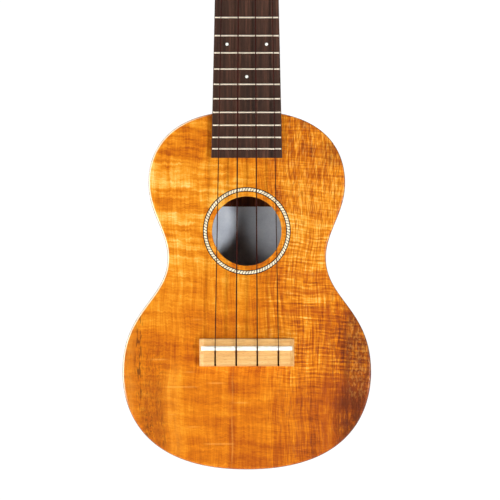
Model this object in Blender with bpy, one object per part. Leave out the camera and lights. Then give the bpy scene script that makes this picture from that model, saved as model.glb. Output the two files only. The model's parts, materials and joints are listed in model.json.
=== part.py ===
"""A soprano ukulele with its neck joined at the fourteenth fret, standing upright.

+Z runs up the neck to the headstock, the soundboard faces -Y and the back faces +Y.
The origin is at the nut line, on the centreline, in the plane of the soundboard's face.
All lengths are in metres.
"""

import itertools
import math

import bmesh
import bpy
from mathutils import Vector

# The gap between touching pieces, and how far a cutter runs past what it cuts
GAP = 0.0003
CUTTER_REACH = 0.01

# Strings and frets
SCALE_LENGTH = 0.349
FRET_COUNT = 17
STRING_RADII = (0.00033, 0.00045, 0.00040, 0.00030)
NUT_SPREAD = 0.0305
SADDLE_SPREAD = 0.0429
STRING_AT_NUT_Y = -0.0075
STRING_AT_SADDLE_Y = -0.01135
STRING_END_Y = -0.0052
STRING_END_IN_BRIDGE = 0.0006
STRING_BEND = (0.0007, 0.0012)
STRING_END_AT_NUT_Z = 0.0004
STRING_SHORT_OF_POST = 0.0031

# Body outline: (half width, height above the tail), then the lengths of the curve's handles
BODY_LENGTH = 0.2442
TAIL_Z = -0.4363
LOWER_BOUT = (0.0846, 0.0666)
WAIST = (0.0538, 0.1441)
UPPER_BOUT = (0.0669, 0.1952)
TAIL_HANDLES = (0.0757, 0.0212)
LOWER_HANDLES = (0.0425, 0.0282)
UPPER_HANDLES = (0.0176, 0.0207)
SHOULDER_HANDLES = (0.0161, 0.0595)
OUTLINE_STEPS = (13, 9, 9, 11)

# Sound box
DEPTH_AT_TAIL = 0.060
DEPTH_AT_NECK = 0.052
TOP_THICKNESS = 0.0022
BACK_THICKNESS = 0.0020
RIB_THICKNESS = 0.0018
LINING_WIDTH = 0.005
LINING_HEIGHT = 0.006
HOLE_Z = -0.2741
HOLE_RADIUS = 0.0235
HOLE_SIDES = 48
ROSETTE_RADII = (0.02675, 0.02985)
ROSETTE_THICKNESS = 0.0008
BRACE_WIDTH = 0.006
BRACE_HEIGHT = 0.009
BRACE_TAPER = 0.2
BRACE_TIP = 0.3
TOP_BRACES_Z = (-0.2380, -0.3130)
BACK_BRACES_Z = (-0.2465, -0.3380)
BRIDGE_PLATE = (0.076, 0.030, 0.0015)
NECK_BLOCK = (0.048, 0.020)
TAIL_BLOCK = (0.040, 0.012)
LABEL_HALF_WIDTH = 0.030
LABEL_TOP_Z = -0.257
LABEL_BOTTOM_Z = -0.302
LABEL_THICKNESS = 0.0003

# Bridge and saddle
BRIDGE_LENGTH = 0.0645
BRIDGE_FRONT_Z = -0.3472
BRIDGE_REAR_Z = -0.3659
BRIDGE_TOP_Y = -0.0083
BRIDGE_END_TOP_Y = -0.0046
BRIDGE_END_BEVEL = 0.0030
SADDLE_Z = -0.3537
SADDLE_LENGTH = 0.0618
SADDLE_THICKNESS = 0.0030
SADDLE_STEPS = 6
SADDLE_TOP_Y = -0.01065
SADDLE_SLOT_Y = -0.0040
STRING_SLOT_WIDTH = 0.0016

# Fingerboard, frets and nut
BOARD_END_Z = -0.2244
BOARD_HALF_WIDTH_AT_NUT = 0.01915
BOARD_HALF_WIDTH_AT_END = 0.0241
BOARD_FACE_Y = -0.0053
FRET_SLOT_WIDTH = 0.0010
FRET_SLOT_DEPTH = 0.0020
FRET_INSET = 0.00035
FRET_TANG_HALF_WIDTH = 0.0002
FRET_CROWN = ((0.0007, 0.0), (0.00062, 0.00045), (0.00035, 0.00085), (0.0, 0.0010))
NUT_THICKNESS = 0.0042
NUT_TOP_Y = -0.0077
NUT_SLOT_Y = -0.0068
NUT_SLOT_WIDTH = 0.0015

# Neck: (z, depth), and the heel
NECK_DEPTHS = ((0.0046, 0.0136), (0.0, 0.0135), (-0.050, 0.0141), (-0.100, 0.0149), (-0.145, 0.0157))
NECK_FULLNESS = 2.3
NECK_STEPS = 8
HEEL_START_Z = -0.145
HEEL_CAP_Z = -0.184
HEEL_END_Z = -0.198
HEEL_DEPTH = 0.0495
HEEL_CAP_HALF_WIDTH = 0.0105
HEEL_STEPS = 8
HEEL_HOLLOW = 0.8
NECK_SPINE_HALF_WIDTH = 0.001

# Headstock, in its own frame: X across, Y up its face, Z out of its face
HEAD_ORIGIN = (0.0, 0.0009, 0.0046)
HEAD_TILT = math.radians(12)
HEAD_THICKNESS = 0.011
VENEER_THICKNESS = 0.0015
HEAD_START_Y = 0.0145

# Where the neck flares into the headstock: (height, half width), and how square each section is. It is thickest
# at the nut, stays a hair inside the headstock and ends in a plug within it: (height, half width, depth)
NECK_FLARE = ((0.001, 0.0194), (0.004, 0.0198), (0.008, 0.0208), (0.012, 0.0226), (0.016, 0.0246))
FLARE_FULLNESS = (2.7, 3.2, 4.2, 6.0, 9.0)
FLARE_EXTRA_DEPTH = 0.0022
FLARE_INSET = 0.00005
PLUG = (0.024, 0.0225, 0.0098)
PLUG_SETBACK = 0.0006
HEAD_EDGE = (
    (0.0246, 0.016),
    (0.0266, 0.024),
    (0.0276, 0.045),
    (0.0286, 0.075),
    (0.0298, 0.099),
    (0.0288, 0.1075),
    (0.0240, 0.1105),
    (0.0150, 0.1108),
    (0.0070, 0.1130),
    (0.0, 0.1142),
)

# Tuners, in the headstock's frame: posts as (x, y) for strings 1 to 4, from the left
POSTS = ((-0.0172, 0.038), (-0.0182, 0.082), (0.0182, 0.082), (0.0172, 0.038))
POST_HOLE_RADIUS = 0.0033
POST_HOLE_SIDES = 16
POST_SIDES = 14
GEAR_TEETH = 14
GEAR_PITCH_RADIUS = 0.005
GEAR_TIP = (0.00535, 0.00028)
GEAR_ROOT = (0.00435, 0.00062)
GEAR_HALF_WIDTH = 0.001

# The string post as (height, radius), waisted for the string, and its end behind the worm wheel
POST_PROFILE = (
    (0.0105, 0.0022),
    (0.0100, 0.0030),
    (0.0080, 0.0030),
    (0.0074, 0.0024),
    (0.0040, 0.0024),
    (0.0034, 0.0030),
)
POST_END_PROFILE = ((0.0, 0.0024), (0.0009, 0.0024), (0.0012, 0.0020))

WORM_RADII = (0.0012, 0.0022)
WORM_PITCH_RADIUS = 0.00175
WORM_HALF_LENGTH = 0.00335
WORM_SIDES = 12
WORM_TURNS = 6
THREAD_PROFILE = ((-0.25, 0), (-0.11, 1), (0.11, 1), (0.25, 0))

# The key on either side of its worm, as (x, half width, half thickness): its bearing, and its shaft and button
BEARING_PROFILE = ((-0.0068, 0.0009, 0.0009), (-0.0066, 0.0012, 0.0012), (-WORM_HALF_LENGTH, 0.0012, 0.0012))
BUTTON_PROFILE = (
    (WORM_HALF_LENGTH, 0.0012, 0.0012),
    (0.0126, 0.0012, 0.0012),
    (0.0128, 0.0022, 0.0022),
    (0.0138, 0.0024, 0.0024),
    (0.0146, 0.0042, 0.0028),
    (0.0166, 0.0054, 0.0031),
    (0.0192, 0.0057, 0.0032),
    (0.0218, 0.0052, 0.0030),
    (0.0238, 0.0038, 0.0024),
    (0.0248, 0.0018, 0.0013),
)

# Tuner plates, held to the back of the headstock
PLATE_THICKNESS = 0.001
EAR_INNER_X = 0.0045
EAR_OUTER_X = 0.0058
EAR_HEIGHT = 0.0052
EAR_HALF_WIDTH = 0.0028
PLATE_ENDS = (-0.0105, 0.0075)
SHAFT_HOLE_RADIUS = 0.0015
WORM_ABOVE_PLATE = 0.0029
WRAP_RADII = (0.0028, 0.0036)
WRAP_SPAN = (0.0044, 0.0070)
WRAP_BEVEL = 0.0003

WORM_PITCH = 2 * math.pi * GEAR_PITCH_RADIUS / GEAR_TEETH
WORM_OFFSET = GEAR_PITCH_RADIUS + WORM_PITCH_RADIUS
PLATE_FRONT = -HEAD_THICKNESS - GAP
PLATE_BACK = PLATE_FRONT - PLATE_THICKNESS
GEAR_LEVEL = PLATE_BACK - WORM_ABOVE_PLATE


def clear_scene():
    for thing in list(bpy.data.objects):
        bpy.data.objects.remove(thing, do_unlink=True)


def make_material(name, colour, roughness, metallic=0.0):
    material = bpy.data.materials.new(name)
    material.use_nodes = True
    shader = material.node_tree.nodes["Principled BSDF"]
    shader.inputs["Base Color"].default_value = (*colour, 1.0)
    shader.inputs["Roughness"].default_value = roughness
    shader.inputs["Metallic"].default_value = metallic
    return material


def add_mesh(name, bm, material, parent=None, location=(0, 0, 0), rotation=(0, 0, 0)):
    """One named object from a bmesh, with its faces pointing out and its round stretches smooth."""
    bmesh.ops.recalc_face_normals(bm, faces=bm.faces)
    mesh = bpy.data.meshes.new(name)
    bm.to_mesh(mesh)
    bm.free()
    mesh.shade_smooth()
    mesh.set_sharp_from_angle(angle=math.radians(32))
    mesh.materials.append(material)
    return add_object(name, mesh, parent, location, rotation)


def add_object(name, data, parent=None, location=(0, 0, 0), rotation=(0, 0, 0)):
    thing = bpy.data.objects.new(name, data)
    bpy.context.scene.collection.objects.link(thing)
    thing.parent = parent
    thing.location = location
    thing.rotation_euler = rotation
    return thing


def as_cutter(thing):
    thing.hide_render = True
    thing.display_type = "WIRE"
    return thing


def add_boolean(target, other, operation):
    modifier = target.modifiers.new(other.name, "BOOLEAN")
    modifier.operation = operation
    modifier.solver = "EXACT"
    modifier.object = other


def loft_into(bm, loops, cap_start=True, cap_end=True, cyclic=False):
    """Skins loops of the same number of points, one after another."""
    rows = [[bm.verts.new(point) for point in loop] for loop in loops]
    pairs = list(zip(rows, rows[1:]))
    if cyclic:
        pairs.append((rows[-1], rows[0]))
    for low, high in pairs:
        for i in range(len(low)):
            j = (i + 1) % len(low)
            bm.faces.new((low[i], low[j], high[j], high[i]))
    if cap_start and not cyclic:
        bm.faces.new(rows[0])
    if cap_end and not cyclic:
        bm.faces.new(rows[-1])
    return rows


def loft(loops, cyclic=False):
    bm = bmesh.new()
    loft_into(bm, loops, cyclic=cyclic)
    return bm


def prism(outline, front, back):
    """The (x, z) outline between two depths, each a function of z."""
    return loft([[(x, side(z), z) for x, z in outline] for side in (front, back)])


def strip(outer, inner, front, back):
    """A bent bar between two (x, z) rails of the same number of points."""
    loops = []
    for (x0, z0), (x1, z1) in zip(outer, inner):
        loops.append([(x0, front(z0), z0), (x0, back(z0), z0), (x1, back(z1), z1), (x1, front(z1), z1)])
    return loft(loops)


def blocks(xs, ys, zs, filled):
    """The filled cells of a grid as one solid; filled(i, j, k) says which cells are solid."""
    bm = bmesh.new()
    corners = {}
    counts = (len(xs) - 1, len(ys) - 1, len(zs) - 1)

    def corner(i, j, k):
        if (i, j, k) not in corners:
            corners[i, j, k] = bm.verts.new((xs[i], ys[j], zs[k]))
        return corners[i, j, k]

    def solid(cell):
        return all(0 <= c < n for c, n in zip(cell, counts)) and filled(*cell)

    def add_face(cell, axis, step):
        face = []
        for a, b in ((0, 0), (1, 0), (1, 1), (0, 1)):
            at = list(cell)
            at[axis] += step
            at[(axis + 1) % 3] += a
            at[(axis + 2) % 3] += b
            face.append(corner(*at))
        bm.faces.new(face)

    cells = [cell for cell in itertools.product(*(range(count) for count in counts)) if solid(cell)]
    for cell, axis, step in itertools.product(cells, range(3), (0, 1)):
        beside = list(cell)
        beside[axis] += 2 * step - 1
        if not solid(beside):
            add_face(cell, axis, step)
    return bm


def ring(radius, height, sides, phase=0.0):
    """A circle of points round Z."""
    turns = [2 * math.pi * i / sides + phase for i in range(sides)]
    return [(radius * math.cos(turn), radius * math.sin(turn), height) for turn in turns]


def depth_cylinder(radius, y_front, y_back, sides):
    """A cylinder along Y."""
    return loft([[(x, y, z) for x, z, _ in ring(radius, 0.0, sides)] for y in (y_front, y_back)])


def flat_ring(inner, outer, y_front, y_back, sides):
    """A washer lying in the plane of the soundboard."""
    corners = ((inner, y_front), (outer, y_front), (outer, y_back), (inner, y_back))
    return loft([[(x, y, z) for x, z, _ in ring(r, 0.0, sides)] for r, y in corners], cyclic=True)


def at_depth(value):
    return lambda z: value


def blend(points, weights):
    return tuple(sum(weight * value for weight, value in zip(weights, axis)) for axis in zip(*points))


def bezier(start, start_handle, end_handle, end, steps):
    """The curve's points, all but the last."""
    points = []
    for i in range(steps):
        t = i / steps
        weights = ((1 - t) ** 3, 3 * (1 - t) ** 2 * t, 3 * (1 - t) * t**2, t**3)
        points.append(blend((start, start_handle, end_handle, end), weights))
    return points


def smooth_curve(points, steps):
    """A Catmull-Rom curve through the points."""
    ends = [points[0], *points, points[-1]]
    curve = []
    for before, start, end, after in zip(ends, ends[1:], ends[2:], ends[3:]):
        for i in range(steps):
            t = i / steps
            weights = (
                -0.5 * t + t**2 - 0.5 * t**3,
                1 - 2.5 * t**2 + 1.5 * t**3,
                0.5 * t + 2 * t**2 - 1.5 * t**3,
                -0.5 * t**2 + 0.5 * t**3,
            )
            curve.append(blend((before, start, end, after), weights))
    curve.append(tuple(points[-1]))
    return curve


def raised(point, height):
    return (point[0], point[1] + height)


def half_outline():
    """The right half of the body outline, from the tail to the neck, as (x, z)."""
    tail, top = (0.0, 0.0), (0.0, BODY_LENGTH)
    spans = (
        (tail, (TAIL_HANDLES[0], 0.0), raised(LOWER_BOUT, -TAIL_HANDLES[1]), LOWER_BOUT),
        (LOWER_BOUT, raised(LOWER_BOUT, LOWER_HANDLES[0]), raised(WAIST, -LOWER_HANDLES[1]), WAIST),
        (WAIST, raised(WAIST, UPPER_HANDLES[0]), raised(UPPER_BOUT, -UPPER_HANDLES[1]), UPPER_BOUT),
        (UPPER_BOUT, raised(UPPER_BOUT, SHOULDER_HANDLES[0]), (SHOULDER_HANDLES[1], BODY_LENGTH), top),
    )
    points = []
    for span, steps in zip(spans, OUTLINE_STEPS):
        points += bezier(*span, steps)
    points.append(top)
    return [(x, TAIL_Z + h) for x, h in points]


def half_rail(inset):
    """The right half of the body outline moved inwards, from the tail to the neck."""
    points = [Vector(point) for point in half_outline()]
    rail = []
    for i, point in enumerate(points):
        before = points[i - 1] if i else Vector((-points[1].x, points[1].y))
        after = points[i + 1] if i + 1 < len(points) else Vector((-points[-2].x, points[-2].y))
        along = (after - before).normalized()
        rail.append((point.x - along.y * inset, point.y + along.x * inset))
    return rail


def body_outline(inset=0.0):
    """The whole closed body outline as (x, z)."""
    right = half_rail(inset)
    left = [(-x, z) for x, z in reversed(right[1:-1])]
    return right + left


def half_width_at(z, inset):
    """How far the body reaches from the centreline at a height, moved inwards."""
    rail = half_rail(inset)
    for (x0, z0), (x1, z1) in zip(rail, rail[1:]):
        if z0 <= z <= z1:
            return x0 + (x1 - x0) * (z - z0) / (z1 - z0)
    raise ValueError("the height is outside the body")


def back_y(z):
    """The outer face of the back, which rises towards the neck."""
    along = (z - TAIL_Z) / BODY_LENGTH
    return DEPTH_AT_TAIL + (DEPTH_AT_NECK - DEPTH_AT_TAIL) * along


def in_front_of_back(distance):
    return lambda z: back_y(z) - distance


def board_half_width(z):
    along = z / BOARD_END_Z
    return BOARD_HALF_WIDTH_AT_NUT + (BOARD_HALF_WIDTH_AT_END - BOARD_HALF_WIDTH_AT_NUT) * along


def fret_z(number):
    return -SCALE_LENGTH * (1 - 2 ** (-number / 12))


def spread(width):
    """The x of four strings spread evenly over a width."""
    return [width * (i / 3 - 0.5) for i in range(4)]


def make_soundboard(koa):
    board = add_mesh("soundboard", prism(body_outline(), at_depth(0.0), at_depth(TOP_THICKNESS)), koa)
    hole = add_mesh("hole_cutter", depth_cylinder(HOLE_RADIUS, -CUTTER_REACH, CUTTER_REACH, HOLE_SIDES), koa)
    hole.location = (0.0, 0.0, HOLE_Z)
    add_boolean(board, as_cutter(hole), "DIFFERENCE")
    radii = (ROSETTE_RADII[0] - GAP, ROSETTE_RADII[1] + GAP)
    washer = flat_ring(*radii, -CUTTER_REACH, ROSETTE_THICKNESS + GAP, HOLE_SIDES)
    channel = add_mesh("channel_cutter", washer, koa)
    channel.location = (0.0, 0.0, HOLE_Z)
    add_boolean(board, as_cutter(channel), "DIFFERENCE")


def make_rosette(rope):
    washer = flat_ring(*ROSETTE_RADII, 0.0, ROSETTE_THICKNESS, HOLE_SIDES)
    add_mesh("rosette", washer, rope, location=(0.0, 0.0, HOLE_Z))


def make_back(koa):
    add_mesh("back_panel", prism(body_outline(), in_front_of_back(BACK_THICKNESS), back_y), koa)


def mirrored(rail):
    return [(-x, z) for x, z in rail]


def make_ribs(koa):
    """The two sides, which meet at the tail and at the neck."""
    outer, inner = half_rail(0.0), half_rail(RIB_THICKNESS)
    outer = [(max(x, GAP / 2), z) for x, z in outer]
    inner = [(max(x, GAP / 2), z) for x, z in inner]
    front = at_depth(TOP_THICKNESS + GAP)
    back = in_front_of_back(BACK_THICKNESS + GAP)
    add_mesh("side_right", strip(outer, inner, front, back), koa)
    add_mesh("side_left", strip(mirrored(outer), mirrored(inner), front, back), koa)


def make_linings(spruce):
    """Strips in the four corners, from the tail block to the neck block."""
    inset = RIB_THICKNESS + GAP
    outer, inner = half_rail(inset), half_rail(inset + LINING_WIDTH)
    kept = []
    for i, (x, z) in enumerate(inner):
        limit = TAIL_BLOCK[0] / 2 if z < HOLE_Z else NECK_BLOCK[0] / 2
        if min(x, outer[i][0]) > limit + 2 * GAP:
            kept.append(i)
    outer = [outer[i] for i in kept]
    inner = [inner[i] for i in kept]
    top_front = TOP_THICKNESS + GAP
    back_gap = BACK_THICKNESS + GAP
    depths = {
        "top": (at_depth(top_front), at_depth(top_front + LINING_HEIGHT)),
        "back": (in_front_of_back(back_gap + LINING_HEIGHT), in_front_of_back(back_gap)),
    }
    for plate, (front, back) in depths.items():
        add_mesh(f"lining_{plate}_right", strip(outer, inner, front, back), spruce)
        add_mesh(f"lining_{plate}_left", strip(mirrored(outer), mirrored(inner), front, back), spruce)


def end_curve(inset, half, at_neck):
    """The body outline moved inwards, across one end, from -half to half."""
    rail = [(x, z) for x, z in half_rail(inset) if (z > HOLE_Z) == at_neck]
    rail.sort()
    near = [(x, z) for x, z in rail if x < half]
    x0, z0 = near[-1]
    x1, z1 = rail[len(near)]
    near.append((half, z0 + (z1 - z0) * (half - x0) / (x1 - x0)))
    return mirrored(reversed(near[1:])) + near


def make_blocks(mahogany):
    """The end blocks, whose outer faces follow the inside of the ribs."""
    front = at_depth(TOP_THICKNESS + GAP)
    back = in_front_of_back(BACK_THICKNESS + GAP)
    inset = RIB_THICKNESS + GAP
    half, length = NECK_BLOCK[0] / 2, NECK_BLOCK[1]
    inner_z = TAIL_Z + BODY_LENGTH - inset - length
    outline = [(-half, inner_z), *end_curve(inset, half, True), (half, inner_z)]
    add_mesh("neck_block", prism(outline, front, back), mahogany)
    half, length = TAIL_BLOCK[0] / 2, TAIL_BLOCK[1]
    inner_z = TAIL_Z + inset + length
    outline = [(-half, inner_z), *end_curve(inset, half, False), (half, inner_z)]
    add_mesh("tail_block", prism(outline, front, back), mahogany)


def make_brace(name, z, surface, spruce):
    """A bar across the body whose ends taper; surface(z, deep) is the depth so far from its plate."""
    ends = (z - BRACE_WIDTH / 2, z + BRACE_WIDTH / 2)
    clearance = RIB_THICKNESS + LINING_WIDTH + 3 * GAP
    half = min(half_width_at(end, clearance) for end in ends)
    taper = half * (1 - BRACE_TAPER)
    tip = BRACE_HEIGHT * BRACE_TIP
    right = [(half, 0.0), (half, tip), (taper, BRACE_HEIGHT)]
    profile = [(-half, 0.0), *right, *[(-x, deep) for x, deep in reversed(right[1:])]]
    add_mesh(name, loft([[(x, surface(end, deep), end) for x, deep in profile] for end in ends]), spruce)


def make_braces(spruce):
    def below_top(z, deep):
        return TOP_THICKNESS + GAP + deep

    def above_back(z, deep):
        return back_y(z) - (BACK_THICKNESS + GAP) - deep

    for place, z in zip(("upper", "lower"), TOP_BRACES_Z):
        make_brace(f"brace_top_{place}", z, below_top, spruce)
    for place, z in zip(("upper", "lower"), BACK_BRACES_Z):
        make_brace(f"brace_back_{place}", z, above_back, spruce)


def make_bridge_plate(spruce):
    width, height, thickness = BRIDGE_PLATE
    middle = (BRIDGE_FRONT_Z + BRIDGE_REAR_Z) / 2
    low, high = middle - height / 2, middle + height / 2
    outline = [(-width / 2, low), (width / 2, low), (width / 2, high), (-width / 2, high)]
    front = TOP_THICKNESS + GAP
    add_mesh("bridge_plate", prism(outline, at_depth(front), at_depth(front + thickness)), spruce)


def make_label(paper):
    half = LABEL_HALF_WIDTH
    outline = [(-half, LABEL_BOTTOM_Z), (half, LABEL_BOTTOM_Z), (half, LABEL_TOP_Z), (-half, LABEL_TOP_Z)]
    gap = BACK_THICKNESS + GAP
    add_mesh("label", prism(outline, in_front_of_back(gap + LABEL_THICKNESS), in_front_of_back(gap)), paper)


def slot_breaks(centres, width, end):
    """Grid lines across a bar with slots, from one end to the other."""
    lines = [-end]
    for x in centres:
        lines += [x - width / 2, x + width / 2]
    return [*lines, end]


def make_bridge(maple):
    """A bar with bevelled ends, a slot for the saddle and four slots for the string ends."""
    half = BRIDGE_LENGTH / 2
    saddle_half = SADDLE_LENGTH / 2 + GAP
    slots = slot_breaks(spread(SADDLE_SPREAD), STRING_SLOT_WIDTH, saddle_half)
    bevel = half - BRIDGE_END_BEVEL
    xs = sorted([-half, half, -bevel, bevel, *slots])
    slot_half = SADDLE_THICKNESS / 2 + GAP
    zs = [BRIDGE_REAR_Z, SADDLE_Z - slot_half, SADDLE_Z + slot_half, BRIDGE_FRONT_Z]
    ys = [BRIDGE_TOP_Y, SADDLE_SLOT_Y, -GAP]
    string_cells = {xs.index(slots[i]) for i in (1, 3, 5, 7)}

    def filled(i, j, k):
        if j == 1:
            return True
        middle = abs(xs[i] + xs[i + 1]) / 2
        in_saddle_slot = k == 1 and middle < saddle_half
        in_string_slot = k == 0 and i in string_cells
        return not (in_saddle_slot or in_string_slot)

    bm = blocks(xs, ys, zs, filled)
    for vertex in bm.verts:
        if vertex.co.y < SADDLE_SLOT_Y - GAP:
            past = max(0.0, abs(vertex.co.x) - bevel) / BRIDGE_END_BEVEL
            vertex.co.y += past * (BRIDGE_END_TOP_Y - BRIDGE_TOP_Y)
    add_mesh("bridge", bm, maple)


def make_saddle(bone):
    """A bar with a rounded top edge."""
    half, low, high = SADDLE_THICKNESS / 2, SADDLE_SLOT_Y - GAP, SADDLE_TOP_Y
    turns = [math.pi * i / SADDLE_STEPS for i in range(SADDLE_STEPS + 1)]
    crown = [(half * math.cos(turn), high + half * (1 - math.sin(turn))) for turn in turns]
    profile = [(half, low), *crown, (-half, low)]
    ends = (-SADDLE_LENGTH / 2, SADDLE_LENGTH / 2)
    add_mesh("saddle", loft([[(x, y, SADDLE_Z + z) for z, y in profile] for x in ends]), bone)


def make_fingerboard(rosewood):
    """A tapered board with a slot for each fret."""
    zs = [0.0, BOARD_END_Z]
    for number in range(1, FRET_COUNT + 1):
        zs += [fret_z(number) - FRET_SLOT_WIDTH / 2, fret_z(number) + FRET_SLOT_WIDTH / 2]
    zs.sort()
    ys = [BOARD_FACE_Y, BOARD_FACE_Y + FRET_SLOT_DEPTH, -GAP]

    def filled(i, j, k):
        return j == 1 or k % 2 == 0

    bm = blocks([-1.0, 1.0], ys, zs, filled)
    for vertex in bm.verts:
        vertex.co.x *= board_half_width(vertex.co.z)
    add_mesh("fingerboard", bm, rosewood)


def make_frets(metal):
    """T-shaped wire: a crown on the board and a tang in its slot."""
    tang_y = BOARD_FACE_Y + FRET_SLOT_DEPTH - GAP
    crown_y = BOARD_FACE_Y - GAP
    right = [(FRET_TANG_HALF_WIDTH, tang_y), (FRET_TANG_HALF_WIDTH, crown_y)]
    right += [(z, crown_y - y) for z, y in FRET_CROWN]
    left = [(-z, y) for z, y in reversed(right[:-1])]
    for number in range(1, FRET_COUNT + 1):
        z0 = fret_z(number)
        half = board_half_width(z0) - FRET_INSET
        loops = [[(x, y, z0 + z) for z, y in right + left] for x in (-half, half)]
        add_mesh(f"fret_{number:02d}", loft(loops), metal)


def make_nut(bone):
    xs = slot_breaks(spread(NUT_SPREAD), NUT_SLOT_WIDTH, BOARD_HALF_WIDTH_AT_NUT)

    def filled(i, j, k):
        return j == 1 or i % 2 == 0

    bm = blocks(xs, [NUT_TOP_Y, NUT_SLOT_Y, -GAP], [GAP, NUT_THICKNESS], filled)
    add_mesh("nut", bm, bone)


def neck_section(origin, tilt, half_width, depth, fullness, heel_half_width=0.0, heel_share=0.0):
    """Half round on the back, or blended towards a heel with a flat cap; down is away from the strings."""
    down = Vector((0.0, math.cos(tilt), -math.sin(tilt)))
    right = []
    for i in range(NECK_STEPS + 1):
        fraction = math.sin(math.pi / 2 * i / NECK_STEPS)
        rounded = half_width * max(0.0, 1 - fraction**fullness) ** (1 / fullness)
        heel = half_width + (heel_half_width - half_width) * fraction**HEEL_HOLLOW
        x = max(NECK_SPINE_HALF_WIDTH, rounded + (heel - rounded) * heel_share)
        right.append((x, fraction * depth))
    sides = right + [(-x, deep) for x, deep in reversed(right)]
    return [Vector((x, 0.0, 0.0)) + Vector(origin) + down * deep for x, deep in sides]


def flare_sections():
    """From inside the headstock down to the nut."""
    head = Vector(HEAD_ORIGIN)
    up = Vector((0.0, math.sin(HEAD_TILT), math.cos(HEAD_TILT)))
    along, half_width, depth = PLUG
    inside = head + up * along + Vector((0.0, PLUG_SETBACK, 0.0))
    loops = [neck_section(inside, HEAD_TILT, half_width, depth, FLARE_FULLNESS[-1])]
    steps = len(NECK_FLARE)
    for i in reversed(range(steps)):
        along, half_width = NECK_FLARE[i]
        place, tilt = head + up * along, HEAD_TILT * (i + 1) / steps
        depth = HEAD_THICKNESS + FLARE_EXTRA_DEPTH * (1 - i / (steps - 1)) - FLARE_INSET
        loops.append(neck_section(place, tilt, half_width - FLARE_INSET, depth, FLARE_FULLNESS[i]))
    return loops


def heel_sections():
    """Down the heel, which narrows to its cap, and on into the body, where the neck is cut off."""
    loops = []
    start = NECK_DEPTHS[-1][1]
    for i in range(1, HEEL_STEPS + 1):
        turn = math.pi / 2 * i / HEEL_STEPS
        z = HEEL_START_Z + (HEEL_CAP_Z - HEEL_START_Z) * math.sin(turn)
        share = 1 - math.cos(turn)
        depth = start + (HEEL_DEPTH - start) * share
        place, half_width = (0.0, 0.0, z), board_half_width(z)
        loops.append(neck_section(place, 0.0, half_width, depth, NECK_FULLNESS, HEEL_CAP_HALF_WIDTH, share))
    place, half_width = (0.0, 0.0, HEEL_END_Z), board_half_width(HEEL_END_Z)
    loops.append(neck_section(place, 0.0, half_width, HEEL_DEPTH, NECK_FULLNESS, HEEL_CAP_HALF_WIDTH, 1.0))
    return loops


def neck_sections():
    """From inside the headstock down to the heel."""
    loops = flare_sections()
    for z, depth in NECK_DEPTHS:
        half_width = board_half_width(min(z, 0.0))
        loops.append(neck_section((0.0, 0.0, z), 0.0, half_width, depth, NECK_FULLNESS))
    return loops + heel_sections()


def head_outline(start_y):
    """The headstock's outline in its own frame, from a height up to the crown."""
    edge = [(HEAD_EDGE[0][0], start_y), *smooth_curve(HEAD_EDGE, 4)]
    return edge + [(-x, y) for x, y in reversed(edge[:-1])]


def veneer_outline():
    """The veneer reaches down to the nut."""
    flare = [(half_width, along) for along, half_width in NECK_FLARE[:-1]]
    edge = [*flare, *smooth_curve(HEAD_EDGE, 4)]
    return edge + [(-x, y) for x, y in reversed(edge[:-1])]


def make_neck(mahogany, head_frame):
    """The neck, heel and headstock in one piece, cut to the body and bored for the posts."""
    neck = add_mesh("neck", loft(neck_sections()), mahogany)
    outline = head_outline(HEAD_START_Y)
    loops = [[(x, y, z) for x, y in outline] for z in (0.0, -HEAD_THICKNESS)]
    head = as_cutter(add_mesh("headstock_shape", loft(loops), mahogany, head_frame))
    add_boolean(neck, head, "UNION")
    space = prism(body_outline(-GAP), at_depth(-CUTTER_REACH), at_depth(DEPTH_AT_TAIL + CUTTER_REACH))
    add_boolean(neck, as_cutter(add_mesh("body_cutter", space, mahogany)), "DIFFERENCE")
    for cutter in post_cutters(mahogany, head_frame, "neck"):
        add_boolean(neck, cutter, "DIFFERENCE")


def post_cutters(material, head_frame, owner):
    ends = (-HEAD_THICKNESS - CUTTER_REACH, CUTTER_REACH)
    loops = [ring(POST_HOLE_RADIUS, z, POST_HOLE_SIDES) for z in ends]
    cutters = []
    for number, (x, y) in enumerate(POSTS, 1):
        name = f"post_cutter_{owner}_{number}"
        cutters.append(as_cutter(add_mesh(name, loft(loops), material, head_frame, (x, y, 0.0))))
    return cutters


def make_veneer(koa, head_frame):
    outline = veneer_outline()
    loops = [[(x, y, z) for x, y in outline] for z in (GAP, GAP + VENEER_THICKNESS)]
    veneer = add_mesh("headstock_veneer", loft(loops), koa, head_frame)
    for cutter in post_cutters(koa, head_frame, "veneer"):
        add_boolean(veneer, cutter, "DIFFERENCE")


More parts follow.
